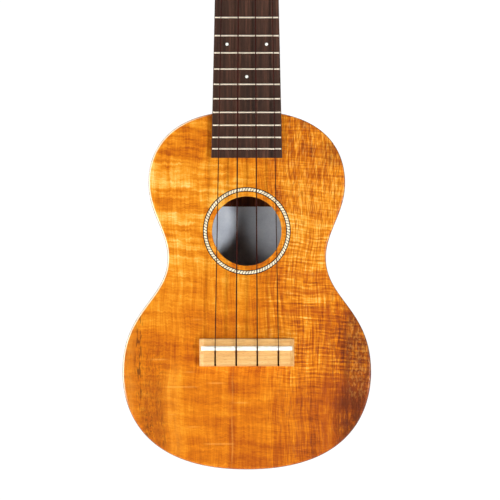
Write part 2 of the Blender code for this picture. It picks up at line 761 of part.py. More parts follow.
def make_tuner_plate(number, place, metal, head_frame):
    """A base with two ears that hold the worm shaft."""
    x, y = place
    xs = [-EAR_OUTER_X, -EAR_INNER_X, EAR_INNER_X, EAR_OUTER_X]
    ys = [PLATE_ENDS[0], -WORM_OFFSET - EAR_HALF_WIDTH, -WORM_OFFSET + EAR_HALF_WIDTH, PLATE_ENDS[1]]
    zs = [PLATE_BACK - EAR_HEIGHT, PLATE_BACK, PLATE_FRONT]

    def filled(i, j, k):
        return k == 1 or (i != 1 and j == 1)

    plate = add_mesh(f"tuner_plate_{number}", blocks(xs, ys, zs, filled), metal, head_frame, (x, y, 0.0))
    loops = [ring(POST_HOLE_RADIUS, z, POST_HOLE_SIDES) for z in (PLATE_BACK - CUTTER_REACH, 0.0)]
    post_hole = add_mesh(f"plate_post_cutter_{number}", loft(loops), metal, head_frame, (x, y, 0.0))
    add_boolean(plate, as_cutter(post_hole), "DIFFERENCE")
    loops = [ring(SHAFT_HOLE_RADIUS, z, WORM_SIDES) for z in (-CUTTER_REACH, CUTTER_REACH)]
    seat, turned = (x, y - WORM_OFFSET, GEAR_LEVEL), (0.0, math.pi / 2, 0.0)
    shaft_hole = add_mesh(f"plate_shaft_cutter_{number}", loft(loops), metal, head_frame, seat, turned)
    add_boolean(plate, as_cutter(shaft_hole), "DIFFERENCE")


def gear_outline(level, turn):
    """Fourteen teeth, the first pointing along -Y, as points round Z."""
    points = []
    for tooth in range(GEAR_TEETH):
        centre = -math.pi / 2 + 2 * math.pi * tooth / GEAR_TEETH + turn
        sides = ((GEAR_ROOT, -1), (GEAR_TIP, -1), (GEAR_TIP, 1), (GEAR_ROOT, 1))
        for (radius, half_width), side in sides:
            angle = centre + side * half_width / radius
            points.append((radius * math.cos(angle), radius * math.sin(angle), level))
    return points


def tuner_post_mesh():
    """The string post and its worm wheel, round Z; teeth lean with the worm's thread."""
    bm = bmesh.new()
    lean = WORM_PITCH * math.asin(GEAR_HALF_WIDTH / WORM_PITCH_RADIUS) / (2 * math.pi * GEAR_PITCH_RADIUS)
    front, back = GEAR_LEVEL + GEAR_HALF_WIDTH, GEAR_LEVEL - GEAR_HALF_WIDTH
    above = [*POST_PROFILE, (front, POST_PROFILE[-1][1])]
    below = [(back - height, radius) for height, radius in POST_END_PROFILE]
    phase = -math.pi / 2 - math.pi / GEAR_TEETH
    upper = loft_into(bm, [ring(r, z, POST_SIDES, phase) for z, r in above], cap_end=False)
    lower = loft_into(bm, [ring(r, z, POST_SIDES, phase) for z, r in below], cap_start=False)
    teeth = loft_into(bm, [gear_outline(front, lean), gear_outline(back, -lean)], False, False)
    for hub, rim in ((upper[-1], teeth[0]), (lower[0], teeth[1])):
        for i in range(GEAR_TEETH):
            j = (i + 1) % GEAR_TEETH
            tooth = [rim[(4 * i + step) % len(rim)] for step in range(5)]
            bm.faces.new([hub[j], hub[i], *tooth])
    return bm


def worm_rows(bm):
    """The thread as rows of points, each row running once round the worm."""
    rows = []
    for turn in range(-WORM_TURNS // 2, WORM_TURNS // 2):
        for share, raised_share in THREAD_PROFILE:
            row = []
            for i in range(WORM_SIDES):
                x = (turn + 0.5 + share + i / WORM_SIDES) * WORM_PITCH
                x = min(max(x, -WORM_HALF_LENGTH), WORM_HALF_LENGTH)
                radius = WORM_RADII[raised_share if abs(x) < WORM_HALF_LENGTH else 0]
                angle = 2 * math.pi * i / WORM_SIDES
                row.append(bm.verts.new((x, radius * math.cos(angle), radius * math.sin(angle))))
            rows.append(row)
    return rows


def tuner_key_mesh():
    """The worm, its shaft and the button, round X; the thread is right-handed."""
    bm = bmesh.new()
    rows = worm_rows(bm)
    for row, after in zip(rows, rows[1:]):
        for i in range(WORM_SIDES - 1):
            bm.faces.new((row[i], row[i + 1], after[i + 1], after[i]))
    later_turn = rows[len(THREAD_PROFILE):]
    for row, after, start, start_after in zip(rows, rows[1:], later_turn, later_turn[1:]):
        bm.faces.new((row[-1], start[0], start_after[0], after[-1]))
    loft_into(bm, [oval(*row) for row in BEARING_PROFILE], cap_end=False)
    loft_into(bm, [oval(*row) for row in BUTTON_PROFILE], cap_start=False)
    bmesh.ops.remove_doubles(bm, verts=bm.verts, dist=1e-7)
    return bm


def oval(x, half_y, half_z):
    turns = [2 * math.pi * i / WORM_SIDES for i in range(WORM_SIDES)]
    return [(x, half_y * math.cos(turn), half_z * math.sin(turn)) for turn in turns]


def make_tuners(metal, brass, head_frame):
    """Each key's origin is on its worm shaft's axis, and each post's on its own axis."""
    for number, place in enumerate(POSTS, 1):
        x, y = place
        make_tuner_plate(number, place, metal, head_frame)
        add_mesh(f"tuner_post_{number}", tuner_post_mesh(), brass, head_frame, (x, y, 0.0))
        half_turn = (0.0, math.pi if x < 0 else 0.0, 0.0)
        seat = (x, y - WORM_OFFSET, GEAR_LEVEL)
        add_mesh(f"tuner_key_{number}", tuner_key_mesh(), metal, head_frame, seat, half_turn)


def make_wraps(nylon, head_frame):
    """The turns of string on each post."""
    for number, (x, y) in enumerate(POSTS, 1):
        inner, outer = WRAP_RADII
        low, high = WRAP_SPAN
        profile = ((inner, low), (outer, low + WRAP_BEVEL), (outer, high - WRAP_BEVEL), (inner, high))
        loops = [ring(radius, level, POST_SIDES) for radius, level in profile]
        add_mesh(f"string_wrap_{number}", loft(loops, cyclic=True), nylon, head_frame, (x, y, 0.0))


def string_route(number, head_frame):
    """From the bridge slot over the saddle and the nut to just short of the turns on the post."""
    at_saddle, at_nut = spread(SADDLE_SPREAD)[number], spread(NUT_SPREAD)[number]
    post_x, post_y = POSTS[number]
    inwards = -1 if post_x > 0 else 1
    turn_radius = (WRAP_RADII[0] + WRAP_RADII[1]) / 2
    level = (WRAP_SPAN[0] + WRAP_SPAN[1]) / 2
    touch = head_frame.matrix_world @ Vector((post_x + inwards * turn_radius, post_y, level))
    nut = Vector((at_nut, STRING_AT_NUT_Y, NUT_THICKNESS))
    end = touch + (nut - touch).normalized() * STRING_SHORT_OF_POST
    return [
        Vector((at_saddle, STRING_END_Y, BRIDGE_REAR_Z + STRING_END_IN_BRIDGE)),
        Vector((at_saddle, STRING_AT_SADDLE_Y + STRING_BEND[0], SADDLE_Z - STRING_BEND[1])),
        Vector((at_saddle, STRING_AT_SADDLE_Y, SADDLE_Z)),
        Vector((at_nut, STRING_AT_NUT_Y, STRING_END_AT_NUT_Z)),
        nut,
        nut.lerp(end, 0.5),
        end,
    ]


def make_strings(nylon, head_frame):
    for number, radius in enumerate(STRING_RADII):
        curve = bpy.data.curves.new(f"string_{number + 1}", "CURVE")
        curve.dimensions = "3D"
        curve.bevel_depth = radius
        curve.bevel_resolution = 2
        curve.use_fill_caps = True
        curve.materials.append(nylon)
        route = string_route(number, head_frame)
        spline = curve.splines.new("POLY")
        spline.points.add(len(route) - 1)
        for point, place in zip(spline.points, route):
            point.co = (*place, 1.0)
        add_object(f"string_{number + 1}", curve)


def main():
    clear_scene()
    koa = make_material("koa", (0.60, 0.26, 0.06), 0.35)
    mahogany = make_material("mahogany", (0.28, 0.11, 0.05), 0.4)
    spruce = make_material("spruce", (0.72, 0.55, 0.34), 0.6)
    rosewood = make_material("rosewood", (0.075, 0.036, 0.024), 0.5)
    maple = make_material("pale_wood", (0.80, 0.50, 0.24), 0.5)
    bone = make_material("bone", (0.86, 0.84, 0.76), 0.35)
    paper = make_material("paper", (0.82, 0.82, 0.80), 0.9)
    rope = make_material("rope_inlay", (0.70, 0.60, 0.42), 0.4)
    fret_metal = make_material("nickel_silver", (0.70, 0.64, 0.50), 0.3, 1.0)
    steel = make_material("nickel_plate", (0.70, 0.69, 0.66), 0.25, 1.0)
    brass = make_material("brass", (0.72, 0.55, 0.26), 0.3, 1.0)
    nylon = make_material("nylon", (0.10, 0.035, 0.03), 0.35)
    head_frame = add_object("headstock_frame", None, None, HEAD_ORIGIN, (math.pi / 2 - HEAD_TILT, 0.0, 0.0))
    bpy.context.view_layer.update()
    make_soundboard(koa)
    make_rosette(rope)
    make_back(koa)
    make_ribs(koa)
    make_linings(spruce)
    make_blocks(mahogany)
    make_braces(spruce)
    make_bridge_plate(spruce)
    make_label(paper)
    make_bridge(maple)
    make_saddle(bone)
    make_fingerboard(rosewood)
    make_frets(fret_metal)
    make_nut(bone)
    make_neck(mahogany, head_frame)
    make_veneer(koa, head_frame)
    make_tuners(steel, brass, head_frame)
    make_wraps(nylon, head_frame)
    make_strings(nylon, head_frame)


main()
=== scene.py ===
"""A soprano ukulele in figured koa, hung upright by its neck against plain white."""

import json
from functools import reduce
from math import cos, pi, radians, sin, sqrt

import bmesh
import bpy
from mathutils import Matrix, Vector

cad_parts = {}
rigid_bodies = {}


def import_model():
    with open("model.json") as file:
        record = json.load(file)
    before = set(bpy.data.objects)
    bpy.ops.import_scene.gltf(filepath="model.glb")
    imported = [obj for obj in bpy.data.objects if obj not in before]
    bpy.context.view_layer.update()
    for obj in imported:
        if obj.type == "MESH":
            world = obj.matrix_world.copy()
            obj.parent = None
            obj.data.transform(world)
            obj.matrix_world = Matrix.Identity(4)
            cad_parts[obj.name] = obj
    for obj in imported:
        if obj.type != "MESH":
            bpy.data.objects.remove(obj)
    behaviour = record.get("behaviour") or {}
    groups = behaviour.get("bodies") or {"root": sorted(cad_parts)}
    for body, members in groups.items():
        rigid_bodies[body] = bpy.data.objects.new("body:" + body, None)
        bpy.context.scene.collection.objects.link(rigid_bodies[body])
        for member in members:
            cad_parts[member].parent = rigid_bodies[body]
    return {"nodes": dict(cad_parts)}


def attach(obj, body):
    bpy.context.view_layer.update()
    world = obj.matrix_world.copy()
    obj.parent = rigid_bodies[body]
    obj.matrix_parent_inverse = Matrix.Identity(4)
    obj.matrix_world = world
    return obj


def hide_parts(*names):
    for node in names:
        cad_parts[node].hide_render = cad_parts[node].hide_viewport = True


# A new file's own cube, lamp and camera go
for thing in list(bpy.data.objects):
    bpy.data.objects.remove(thing, do_unlink=True)

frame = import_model()
bpy.context.view_layer.update()
NODES = frame["nodes"]

# The part's driving dimensions, in metres
GAP = 0.0003
SCALE_LENGTH = 0.349
FRET_COUNT = 17
STRING_RADII = (0.00033, 0.00045, 0.0004, 0.0003)
NUT_SPREAD = 0.0305
SADDLE_SPREAD = 0.0429
BODY_LENGTH = 0.2442
TAIL_Z = -0.4363
# The right half of the body's outline, up from the tail: Bezier spans of four points that share their ends
OUTLINE = (
    (0, 0), (0.0757, 0), (0.0846, 0.0454),
    (0.0846, 0.0666), (0.0846, 0.1091), (0.0538, 0.1159),
    (0.0538, 0.1441), (0.0538, 0.1617), (0.0669, 0.1745),
    (0.0669, 0.1952), (0.0669, 0.2113), (0.0595, BODY_LENGTH), (0, BODY_LENGTH),
)
OUTLINE_STEPS = (40, 26, 26, 34)
DEPTH_AT_TAIL = 0.06
DEPTH_AT_NECK = 0.052
TOP_THICKNESS = 0.0022
TOP_EDGE_RADIUS = 0.0013
BACK_THICKNESS = 0.002
BACK_EDGE_RADIUS = 0.0014
RIB_THICKNESS = 0.0018
HOLE_Z = -0.2741
HOLE_RADIUS = 0.0235
HOLE_SIDES = 144
ROSETTE_RADII = (0.02675, 0.02985)
ROSETTE_THICKNESS = 0.0008
ROSETTE_CLEARANCE = 0.00003
BRIDGE_LENGTH = 0.0645
BRIDGE_FRONT_Z = -0.3472
BRIDGE_REAR_Z = -0.3659
BRIDGE_TOP_Y = -0.0083
BRIDGE_END_TOP_Y = -0.0046
BRIDGE_END_BEVEL = 0.003
SADDLE_Z = -0.3537
SADDLE_LENGTH = 0.0618
SADDLE_THICKNESS = 0.003
SADDLE_TOP_Y = -0.01065
SADDLE_SLOT_Y = -0.004
BOARD_END_Z = -0.2244
BOARD_HALF_WIDTH_AT_NUT = 0.01915
BOARD_HALF_WIDTH_AT_END = 0.0241
BOARD_FACE_Y = -0.0053
FRET_HALF_WIDTH = 0.00052
FRET_HEIGHT = 0.00105
FRET_SET_IN = 0.0005
DOT_RADIUS = 0.00105
DOT_DEPTH = 0.0006
# Each dot's x, and the fret above which it lies
DOTS = ((0, 5), (0, 7), (-0.0134, 10), (0.0134, 10), (0, 12))
NUT_THICKNESS = 0.0042
NUT_TOP_Y = -0.0077
NUT_GROOVE = 0.0008
HEAD_ORIGIN = Vector((0, 0.0009, 0.0046))
HEAD_TILT = radians(12)
HEAD_THICKNESS = 0.011
VENEER_THICKNESS = 0.0015
# The headstock's shoulders, as height and half width, and its edge, as half width and height
NECK_FLARE = ((0.001, 0.0194), (0.004, 0.0198), (0.008, 0.0208), (0.012, 0.0226), (0.016, 0.0246))
HEAD_EDGE = (
    (0.0246, 0.016), (0.0266, 0.024), (0.0276, 0.045), (0.0286, 0.075), (0.0298, 0.099),
    (0.0288, 0.1075), (0.024, 0.1105), (0.015, 0.1108), (0.007, 0.113), (0, 0.1142),
)
# The neck's height and its depth behind the strings' plane
NECK_DEPTHS = ((0.0046, 0.0136), (0, 0.0135), (-0.05, 0.0141), (-0.1, 0.0149), (-0.145, 0.0157))
HEEL_START_Z = -0.145
HEEL_CAP_Z = -0.184
HEEL_END_Z = -0.198
HEEL_DEPTH = 0.0495
HEEL_CAP_HALF_WIDTH = 0.0105
POSTS = ((-0.0172, 0.038), (-0.0182, 0.082), (0.0182, 0.082), (0.0172, 0.038))
PLATE_BACK = -HEAD_THICKNESS - GAP - 0.001
HEAD_MATRIX = Matrix.Translation(HEAD_ORIGIN) @ Matrix.Rotation(pi / 2 - HEAD_TILT, 4, "X")
SKIN_VOXEL = 0.0006
HALF_TURN = [pi * i / 10 for i in range(11)]
SIDES = (("left", -1), ("right", 1))


# ---- meshes


def add_object(name, data):
    thing = bpy.data.objects.new(name, data)
    bpy.context.scene.collection.objects.link(thing)
    return thing


def solid(name, bm):
    """An object with the bmesh's shape and its faces turned outwards."""
    bmesh.ops.recalc_face_normals(bm, faces=bm.faces)
    mesh = bpy.data.meshes.new(name)
    bm.to_mesh(mesh)
    bm.free()
    return add_object(name, mesh)


def make_piece(name, bm, looks, node=None, body="instrument", angle=30, matrix=None, bevel=0):
    """A named piece from a bmesh, smooth where its faces meet gently; it stands for its CAD node."""
    piece = solid(name, bm)
    if matrix is not None:
        piece.data.transform(matrix)
    for look in looks.split():
        piece.data.materials.append(LOOKS[look])
    if bevel:
        modify(piece, "BEVEL", width=bevel, segments=2, limit_method="ANGLE", angle_limit=radians(35))
        settle(piece)
    piece.data.shade_smooth()
    piece.data.set_sharp_from_angle(angle=radians(angle))
    return register(piece, node, body)


def register(piece, node, body):
    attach(piece, body)
    if node:
        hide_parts(node)
    return piece


def modify(thing, kind, **settings):
    modifier = thing.modifiers.new(kind.lower(), kind)
    for setting, value in settings.items():
        setattr(modifier, setting, value)


def settle(thing):
    """Applies the object's modifiers."""
    bpy.context.view_layer.update()
    graph = bpy.context.evaluated_depsgraph_get()
    mesh = bpy.data.meshes.new_from_object(thing.evaluated_get(graph), depsgraph=graph)
    thing.modifiers.clear()
    thing.data = mesh


def cut(thing, cutters):
    """Takes the cutters out of the object and removes them."""
    for cutter in cutters:
        modify(thing, "BOOLEAN", operation="DIFFERENCE", solver="EXACT", object=cutter)
    settle(thing)
    for cutter in cutters:
        bpy.data.objects.remove(cutter, do_unlink=True)


def taken(*things):
    """The shapes of some objects in one bmesh; the objects are removed."""
    bm = bmesh.new()
    for thing in things:
        bm.from_mesh(thing.data)
        bpy.data.objects.remove(thing, do_unlink=True)
    return bm


def loft_into(bm, loops, caps=True, cyclic=False, material=0):
    """Faces from each loop to the next, with the end loops closed or joined to each other."""
    rows = [[bm.verts.new(point) for point in loop] for loop in loops]
    pairs = list(zip(rows, rows[1:]))
    if cyclic:
        pairs.append((rows[-1], rows[0]))
    for low, high in pairs:
        for i in range(len(low)):
            j = (i + 1) % len(low)
            bm.faces.new((low[i], low[j], high[j], high[i])).material_index = material
    if caps and not cyclic:
        for row in (rows[0], rows[-1]):
            bm.faces.new(row).material_index = material
    return rows


def loft(loops, **options):
    bm = bmesh.new()
    loft_into(bm, loops, **options)
    return bm


def full_turn(steps):
    return [2 * pi * i / steps for i in range(steps)]


def circle(radius, sides=48, centre=(0, 0)):
    return [(centre[0] + radius * cos(t), centre[1] + radius * sin(t)) for t in full_turn(sides)]


def turned(profile, sides=48):
    """The loops of a solid of revolution round Z from (radius, height) pairs."""
    smallest = 1e-5
    return [[(x, y, height) for x, y in circle(max(radius, smallest), sides)] for radius, height in profile]


def welded(node):
    """A copy of a CAD node's mesh with its corners joined."""
    bm = bmesh.new()
    bm.from_mesh(NODES[node].data)
    bmesh.ops.remove_doubles(bm, verts=bm.verts, dist=2e-6)
    return bm


def refined(node):
    """A copy of a CAD node's mesh with its flat faces whole."""
    bm = welded(node)
    bmesh.ops.dissolve_limit(bm, angle_limit=radians(1), verts=bm.verts, edges=bm.edges)
    return bm


# ---- shapes of the instrument


def blend(low, high, share):
    return low + (high - low) * share


def weighted(weights, points):
    return tuple(sum(w * c for w, c in zip(weights, axis)) for axis in zip(*points))


def bezier_point(span, t):
    return weighted(((1 - t) ** 3, 3 * (1 - t) ** 2 * t, 3 * (1 - t) * t**2, t**3), span)


def half_rail(inset):
    """The right half of the body outline moved inwards, from the tail to the neck."""
    points = []
    for i, steps in enumerate(OUTLINE_STEPS):
        span = OUTLINE[3 * i:3 * i + 4]
        points += [Vector(bezier_point(span, k / steps)) for k in range(steps)]
    points.append(Vector(OUTLINE[-1]))
    before_tail, past_neck = (Vector((-points[i].x, points[i].y)) for i in (1, -2))
    rail = []
    for before, point, after in zip([before_tail, *points], points, [*points[1:], past_neck]):
        along = (after - before).normalized()
        rail.append((point.x - along.y * inset, TAIL_Z + point.y + along.x * inset))
    return rail


def body_outline(inset=0):
    right = half_rail(inset)
    return right + [(-x, z) for x, z in reversed(right[1:-1])]


def back_y(z):
    return blend(DEPTH_AT_TAIL, DEPTH_AT_NECK, (z - TAIL_Z) / BODY_LENGTH)


def board_half_width(z):
    return blend(BOARD_HALF_WIDTH_AT_NUT, BOARD_HALF_WIDTH_AT_END, max(0, z / BOARD_END_Z))


def fret_z(number):
    return -SCALE_LENGTH * (1 - 2 ** (-number / 12))


def spread(width):
    return [width * (i / 3 - 0.5) for i in range(4)]


def smooth_curve(points, steps):
    """A Catmull-Rom curve through points of any number of coordinates."""
    ends = [points[0], *points, points[-1]]
    curve = []
    for before, start, end, after in zip(ends, ends[1:], ends[2:], ends[3:]):
        for i in range(steps):
            t = i / steps
            weights = (
                -0.5 * t + t**2 - 0.5 * t**3,
                1 - 2.5 * t**2 + 1.5 * t**3,
                0.5 * t + 2 * t**2 - 1.5 * t**3,
                -0.5 * t**2 + 0.5 * t**3,
            )
            curve.append(weighted(weights, (before, start, end, after)))
    curve.append(tuple(points[-1]))
    return curve


def quarter(radius, steps=5):
    """Insets and depths round a quarter circle, from a face to the side below it."""
    turns = [pi / 2 * i / steps for i in range(steps + 1)]
    return [(radius * (1 - sin(t)), radius * (1 - cos(t))) for t in turns]


def mirrored(points):
    """The points, and their images across the middle on the way back."""
    return points + [(-x, other) for x, other in reversed(points)]


def plate(face_y, inwards, thickness, edge_radius, hole=None, channel=None):
    """A sound box plate with a rounded edge; face_y gives its outer face and inwards is +1 or -1 along Y."""
    bm = bmesh.new()
    flat, chamfer, hole_edge = 0.0004, 0.0002, 0.0004

    def placed(outline, depth):
        return [(x, face_y(z) + inwards * depth, z) for x, z in outline]

    def ring(radius, depth):
        return placed([(x, HOLE_Z + z) for x, z in circle(radius, HOLE_SIDES)], depth)

    rim = [placed(body_outline(edge_radius + flat), 0)]
    rim += [placed(body_outline(inset), depth) for inset, depth in quarter(edge_radius)]
    rim += [placed(body_outline(), thickness - chamfer / 2), placed(body_outline(chamfer), thickness)]
    rows = loft_into(bm, rim, caps=False)
    front, back = [rows[0]], [rows[-1]]
    if hole:
        inner, outer, floor = channel
        steps = [(outer, 0), (outer, floor), (inner, floor), (inner, 0), (hole + 2 * hole_edge, 0)]
        steps += [(hole + inset, depth) for inset, depth in quarter(hole_edge, 4)]
        steps += [(hole, thickness)]
        rows = loft_into(bm, [ring(r, d) for r, d in steps], caps=False)
        front.append(rows[0])
        back.append(rows[-1])
    for loops in (front, back):
        edges = [bm.edges.get((row[i], row[(i + 1) % len(row)])) for row in loops for i in range(len(row))]
        bmesh.ops.triangle_fill(bm, use_beauty=True, use_dissolve=False, edges=edges)
    return bm


def raw_inside(bm, inwards):
    """Gives the face on the inside of the box the unfinished wood."""
    bmesh.ops.recalc_face_normals(bm, faces=bm.faces)
    for face in bm.faces:
        if face.normal.y * inwards > 0.9:
            face.material_index = 1
    return bm


def make_sound_box():
    inner, outer = ROSETTE_RADII
    channel = (inner - ROSETTE_CLEARANCE, outer + ROSETTE_CLEARANCE, ROSETTE_THICKNESS)
    board = plate(lambda z: 0, 1, TOP_THICKNESS, TOP_EDGE_RADIUS, HOLE_RADIUS, channel)
    make_piece("top_plate", raw_inside(board, 1), "koa_top raw_koa", "soundboard")
    back = plate(back_y, -1, BACK_THICKNESS, BACK_EDGE_RADIUS)
    make_piece("back_plate", raw_inside(back, -1), "koa_back raw_koa", "back_panel")
    seam, steps = 0.00002, 6
    outer, inner = half_rail(0), half_rail(RIB_THICKNESS)
    for side, sign in SIDES:
        loops = []
        for (x0, z0), (x1, z1) in zip(outer, inner):
            front, rear0, rear1 = TOP_THICKNESS, back_y(z0) - BACK_THICKNESS, back_y(z1) - BACK_THICKNESS
            a, b = sign * max(x0, seam), sign * max(x1, seam)
            middle = [(a, front + (rear0 - front) * k / steps, z0) for k in range(steps + 1)]
            loops.append([*middle, (b, rear1, z1), (b, front, z1)])
        make_piece(f"rib_{side}", loft(loops), "koa_side", f"side_{side}")
    make_rosette()


def make_rosette():
    """A crowned ring of rope between two thin dark rings."""
    inner, outer = ROSETTE_RADII
    middle, half = (inner + outer) / 2, (outer - inner) / 2
    rope_share, crown, sides = 0.62, 0.00004, 192
    bm = bmesh.new()
    for low, high, material in ((-1, -rope_share, 1), (-rope_share, rope_share, 0), (rope_share, 1, 1)):
        profile = [(low, ROSETTE_THICKNESS), (low, 0), (low * 0.6 + high * 0.4, -crown),
                   (low * 0.4 + high * 0.6, -crown), (high, 0), (high, ROSETTE_THICKNESS)]
        rings = [(circle(middle + half * share, sides), y) for share, y in profile]
        loops = [[(x, y, HOLE_Z + z) for x, z in ring] for ring, y in rings]
        loft_into(bm, loops, cyclic=True, material=material)
    make_piece("rosette_ring", bm, "rope_inlay ebony", "rosette")


def make_bridge():
    """A bar with bevelled ends and a rounded top edge, slotted for the saddle and the string ends."""
    half, radius, end_draft, end_row = BRIDGE_LENGTH / 2, 0.0006, 0.0004, 0.0004
    saddle_half = SADDLE_LENGTH / 2 + 0.0001
    slot_half = SADDLE_THICKNESS / 2 + 0.00008
    rear_slot, front_slot = SADDLE_Z - slot_half, SADDLE_Z + slot_half
    string_half, hair = 0.0006, 0.00002
    xs = [half, half - end_row, half - BRIDGE_END_BEVEL, saddle_half + hair, saddle_half]
    xs += [-x for x in xs]
    for x in spread(SADDLE_SPREAD):
        xs += [x - string_half - hair, x - string_half, x + string_half, x + string_half + hair]
    loops = []
    for x in sorted(xs):
        share = min(1, (half - abs(x)) / BRIDGE_END_BEVEL)
        top = blend(BRIDGE_END_TOP_Y, BRIDGE_TOP_Y, share ** 0.85)
        floor = SADDLE_SLOT_Y if abs(x) <= saddle_half + hair / 2 else top
        in_slot = any(abs(x - centre) <= string_half + hair / 2 for centre in spread(SADDLE_SPREAD))
        rear_top = SADDLE_SLOT_Y if in_slot else top
        draw = end_draft if abs(x) > half - end_row / 2 else 0
        rear, front = BRIDGE_REAR_Z + draw, BRIDGE_FRONT_Z - draw
        rounded = quarter(radius, 3)
        points = [(rear, 0)]
        points += [(rear + inset, min(0, rear_top + depth)) for inset, depth in reversed(rounded)]
        points += [(rear_slot, rear_top), (rear_slot, floor), (front_slot, floor), (front_slot, top)]
        points += [(front - inset, top + depth) for inset, depth in rounded]
        points.append((front, 0))
        loops.append([(x, y, z) for z, y in points])
    make_piece("bridge_bar", loft(loops), "pale_wood", "bridge", angle=28)
    make_saddle()


def make_saddle():
    """A bar with a crowned top that drops at both ends."""
    end, thick = SADDLE_LENGTH / 2, SADDLE_THICKNESS / 2
    drop, drop_length, steps = 0.0012, 0.002, 30
    loops = []
    for step in range(-steps, steps + 1):
        x = end * sin(pi / 2 * step / steps)
        high = SADDLE_TOP_Y + drop * max(0, 1 - (end - abs(x)) / drop_length) ** 2
        crown = [(thick * cos(a), high + thick * 0.8 * (1 - sin(a))) for a in HALF_TURN]
        profile = [(thick, SADDLE_SLOT_Y), *crown, (-thick, SADDLE_SLOT_Y)]
        loops.append([(x, y, SADDLE_Z + z) for z, y in profile])
    make_piece("saddle_bar", loft(loops), "bone", "saddle", angle=40)


def make_fingerboard():
    edge, end_draw, steps = 0.0005, 0.00015, 24
    stations = [0, 0.0001] + [BOARD_END_Z * i / steps for i in range(1, steps)]
    stations += [BOARD_END_Z + 0.0002, BOARD_END_Z]
    loops = []
    for z in stations:
        end = end_draw if z in (BOARD_END_Z, 0) else 0
        half = board_half_width(z) - end
        right = [(half, 0)]
        right += [(half - inset, BOARD_FACE_Y + end + depth) for inset, depth in reversed(quarter(edge, 3))]
        loops.append([(x, y, z) for x, y in mirrored(right)])
    make_piece("board", loft(loops), "rosewood", "fingerboard")
    for number in range(1, FRET_COUNT + 1):
        make_fret(number)
    for x, number in DOTS:
        make_dot(x, number)


def make_fret(number):
    """A crowned wire with filed ends."""
    half = board_half_width(fret_z(number)) - FRET_SET_IN
    ends = [(-half + inset, share) for share, inset in ((0.25, 0), (0.75, 0.00035), (1, 0.001))]
    sink = 0.00002
    loops = []
    for x, share in mirrored(ends):
        arc = [(FRET_HALF_WIDTH * cos(a), -FRET_HEIGHT * share * sin(a) ** 0.9) for a in HALF_TURN]
        loops.append([(x, BOARD_FACE_Y + sink + y, fret_z(number) + z) for z, y in arc])
    node = f"fret_{number:02d}"
    make_piece(f"fret_wire_{number:02d}", loft(loops), "fret_wire", node, angle=50)


def make_dot(x, number):
    """An inlaid disc in a thin dark ring of filler."""
    r, ring, sides = DOT_RADIUS, 0.00128, 32
    bm = loft(turned([(r, -DOT_DEPTH), (r, 0.00002), (0.0008, 0.00005), (0.0003, 0.00006)], sides))
    profile = [(r, 0.00001), (r, -DOT_DEPTH), (ring, -DOT_DEPTH), (ring, 0.00001)]
    loft_into(bm, turned(profile, sides), cyclic=True, material=1)
    place = Vector((x, BOARD_FACE_Y, (fret_z(number - 1) + fret_z(number)) / 2))
    matrix = Matrix.Translation(place) @ Matrix.Rotation(pi / 2, 4, "X")
    side = "left" if x < 0 else "right" if x > 0 else "middle"
    make_piece(f"position_dot_{number:02d}_{side}", bm, "pearl ebony", matrix=matrix)


def make_nut():
    """A bone bar with a groove for each string, falling away behind them."""
    half, radius, end_draw, slack, step = BOARD_HALF_WIDTH_AT_NUT, 0.0007, 0.0004, 0.00025, 0.0001
    xs = [-half, half, -half + end_draw, half - end_draw]
    for x in spread(NUT_SPREAD):
        xs += [x + offset * step for offset in range(-8, 9)]
    loops = []
    for x in sorted(xs):
        end = end_draw if abs(x) > half - 0.0001 else 0
        away, string_radius = min(zip((abs(x - s) for s in spread(NUT_SPREAD)), STRING_RADII))
        inside = max(0, 1 - (away / (string_radius + slack)) ** 2)
        top = NUT_TOP_Y + end + NUT_GROOVE * sqrt(inside)
        front, back = end, NUT_THICKNESS - end
        profile = [(front, 0)]
        profile += [(front + inset * 0.5, top + depth * 0.5) for inset, depth in reversed(quarter(radius, 3))]
        profile += [(back - inset * 2, top + depth * 1.6) for inset, depth in quarter(radius, 5)]
        profile.append((back, 0))
        loops.append([(x, y, z) for z, y in profile])
    make_piece("nut_bar", loft(loops), "bone", "nut", angle=38)


def neck_section(origin, tilt, half_width, depth, fullness, heel_share):
    """Half round on the back, or blended towards a heel with a flat cap."""
    steps, narrowest = 18, 0.0006
    down = Vector((0, cos(tilt), -sin(tilt)))
    right = []
    for i in range(steps + 1):
        fraction = sin(pi / 2 * i / steps)
        rounded = half_width * max(0, 1 - fraction**fullness) ** (1 / fullness)
        heel = blend(half_width, HEEL_CAP_HALF_WIDTH, fraction**0.8)
        right.append((max(narrowest, blend(rounded, heel, heel_share)), fraction * depth))
    return [Vector((x, 0, 0)) + origin + down * deep for x, deep in mirrored(right)]


def neck_stations():
    """Rows of y, z, tilt, half width, depth, fullness and heel share, from the headstock to the heel."""
    up = Vector((0, sin(HEAD_TILT), cos(HEAD_TILT)))
    inside = HEAD_ORIGIN + up * 0.024 + Vector((0, 0.0006, 0))
    rows = [(inside.y, inside.z, HEAD_TILT, 0.0225, HEAD_THICKNESS - 0.0012, 9, 0)]
    count = len(NECK_FLARE)
    for i, (along, half_width), fullness in zip(range(count), NECK_FLARE, (2.7, 3.2, 4.2, 6, 9)):
        at = HEAD_ORIGIN + up * along
        depth = HEAD_THICKNESS + 0.0018 * (1 - i / (count - 1))
        rows.insert(1, (at.y, at.z, HEAD_TILT * (i + 1) / count, half_width, depth, fullness, 0))
    full = 2.3
    for z, depth in NECK_DEPTHS:
        rows.append((0, z, 0, board_half_width(min(z, 0)), depth, full, 0))
    steps = 8
    for i in range(1, steps + 1):
        turn = pi / 2 * i / steps
        z = blend(HEEL_START_Z, HEEL_CAP_Z, sin(turn))
        share = 1 - cos(turn)
        depth = blend(NECK_DEPTHS[-1][1], HEEL_DEPTH, share)
        rows.append((0, z, 0, board_half_width(z), depth, full, share))
    rows.append((0, HEEL_END_Z, 0, board_half_width(HEEL_END_Z), HEEL_DEPTH, full, 1))
    return rows


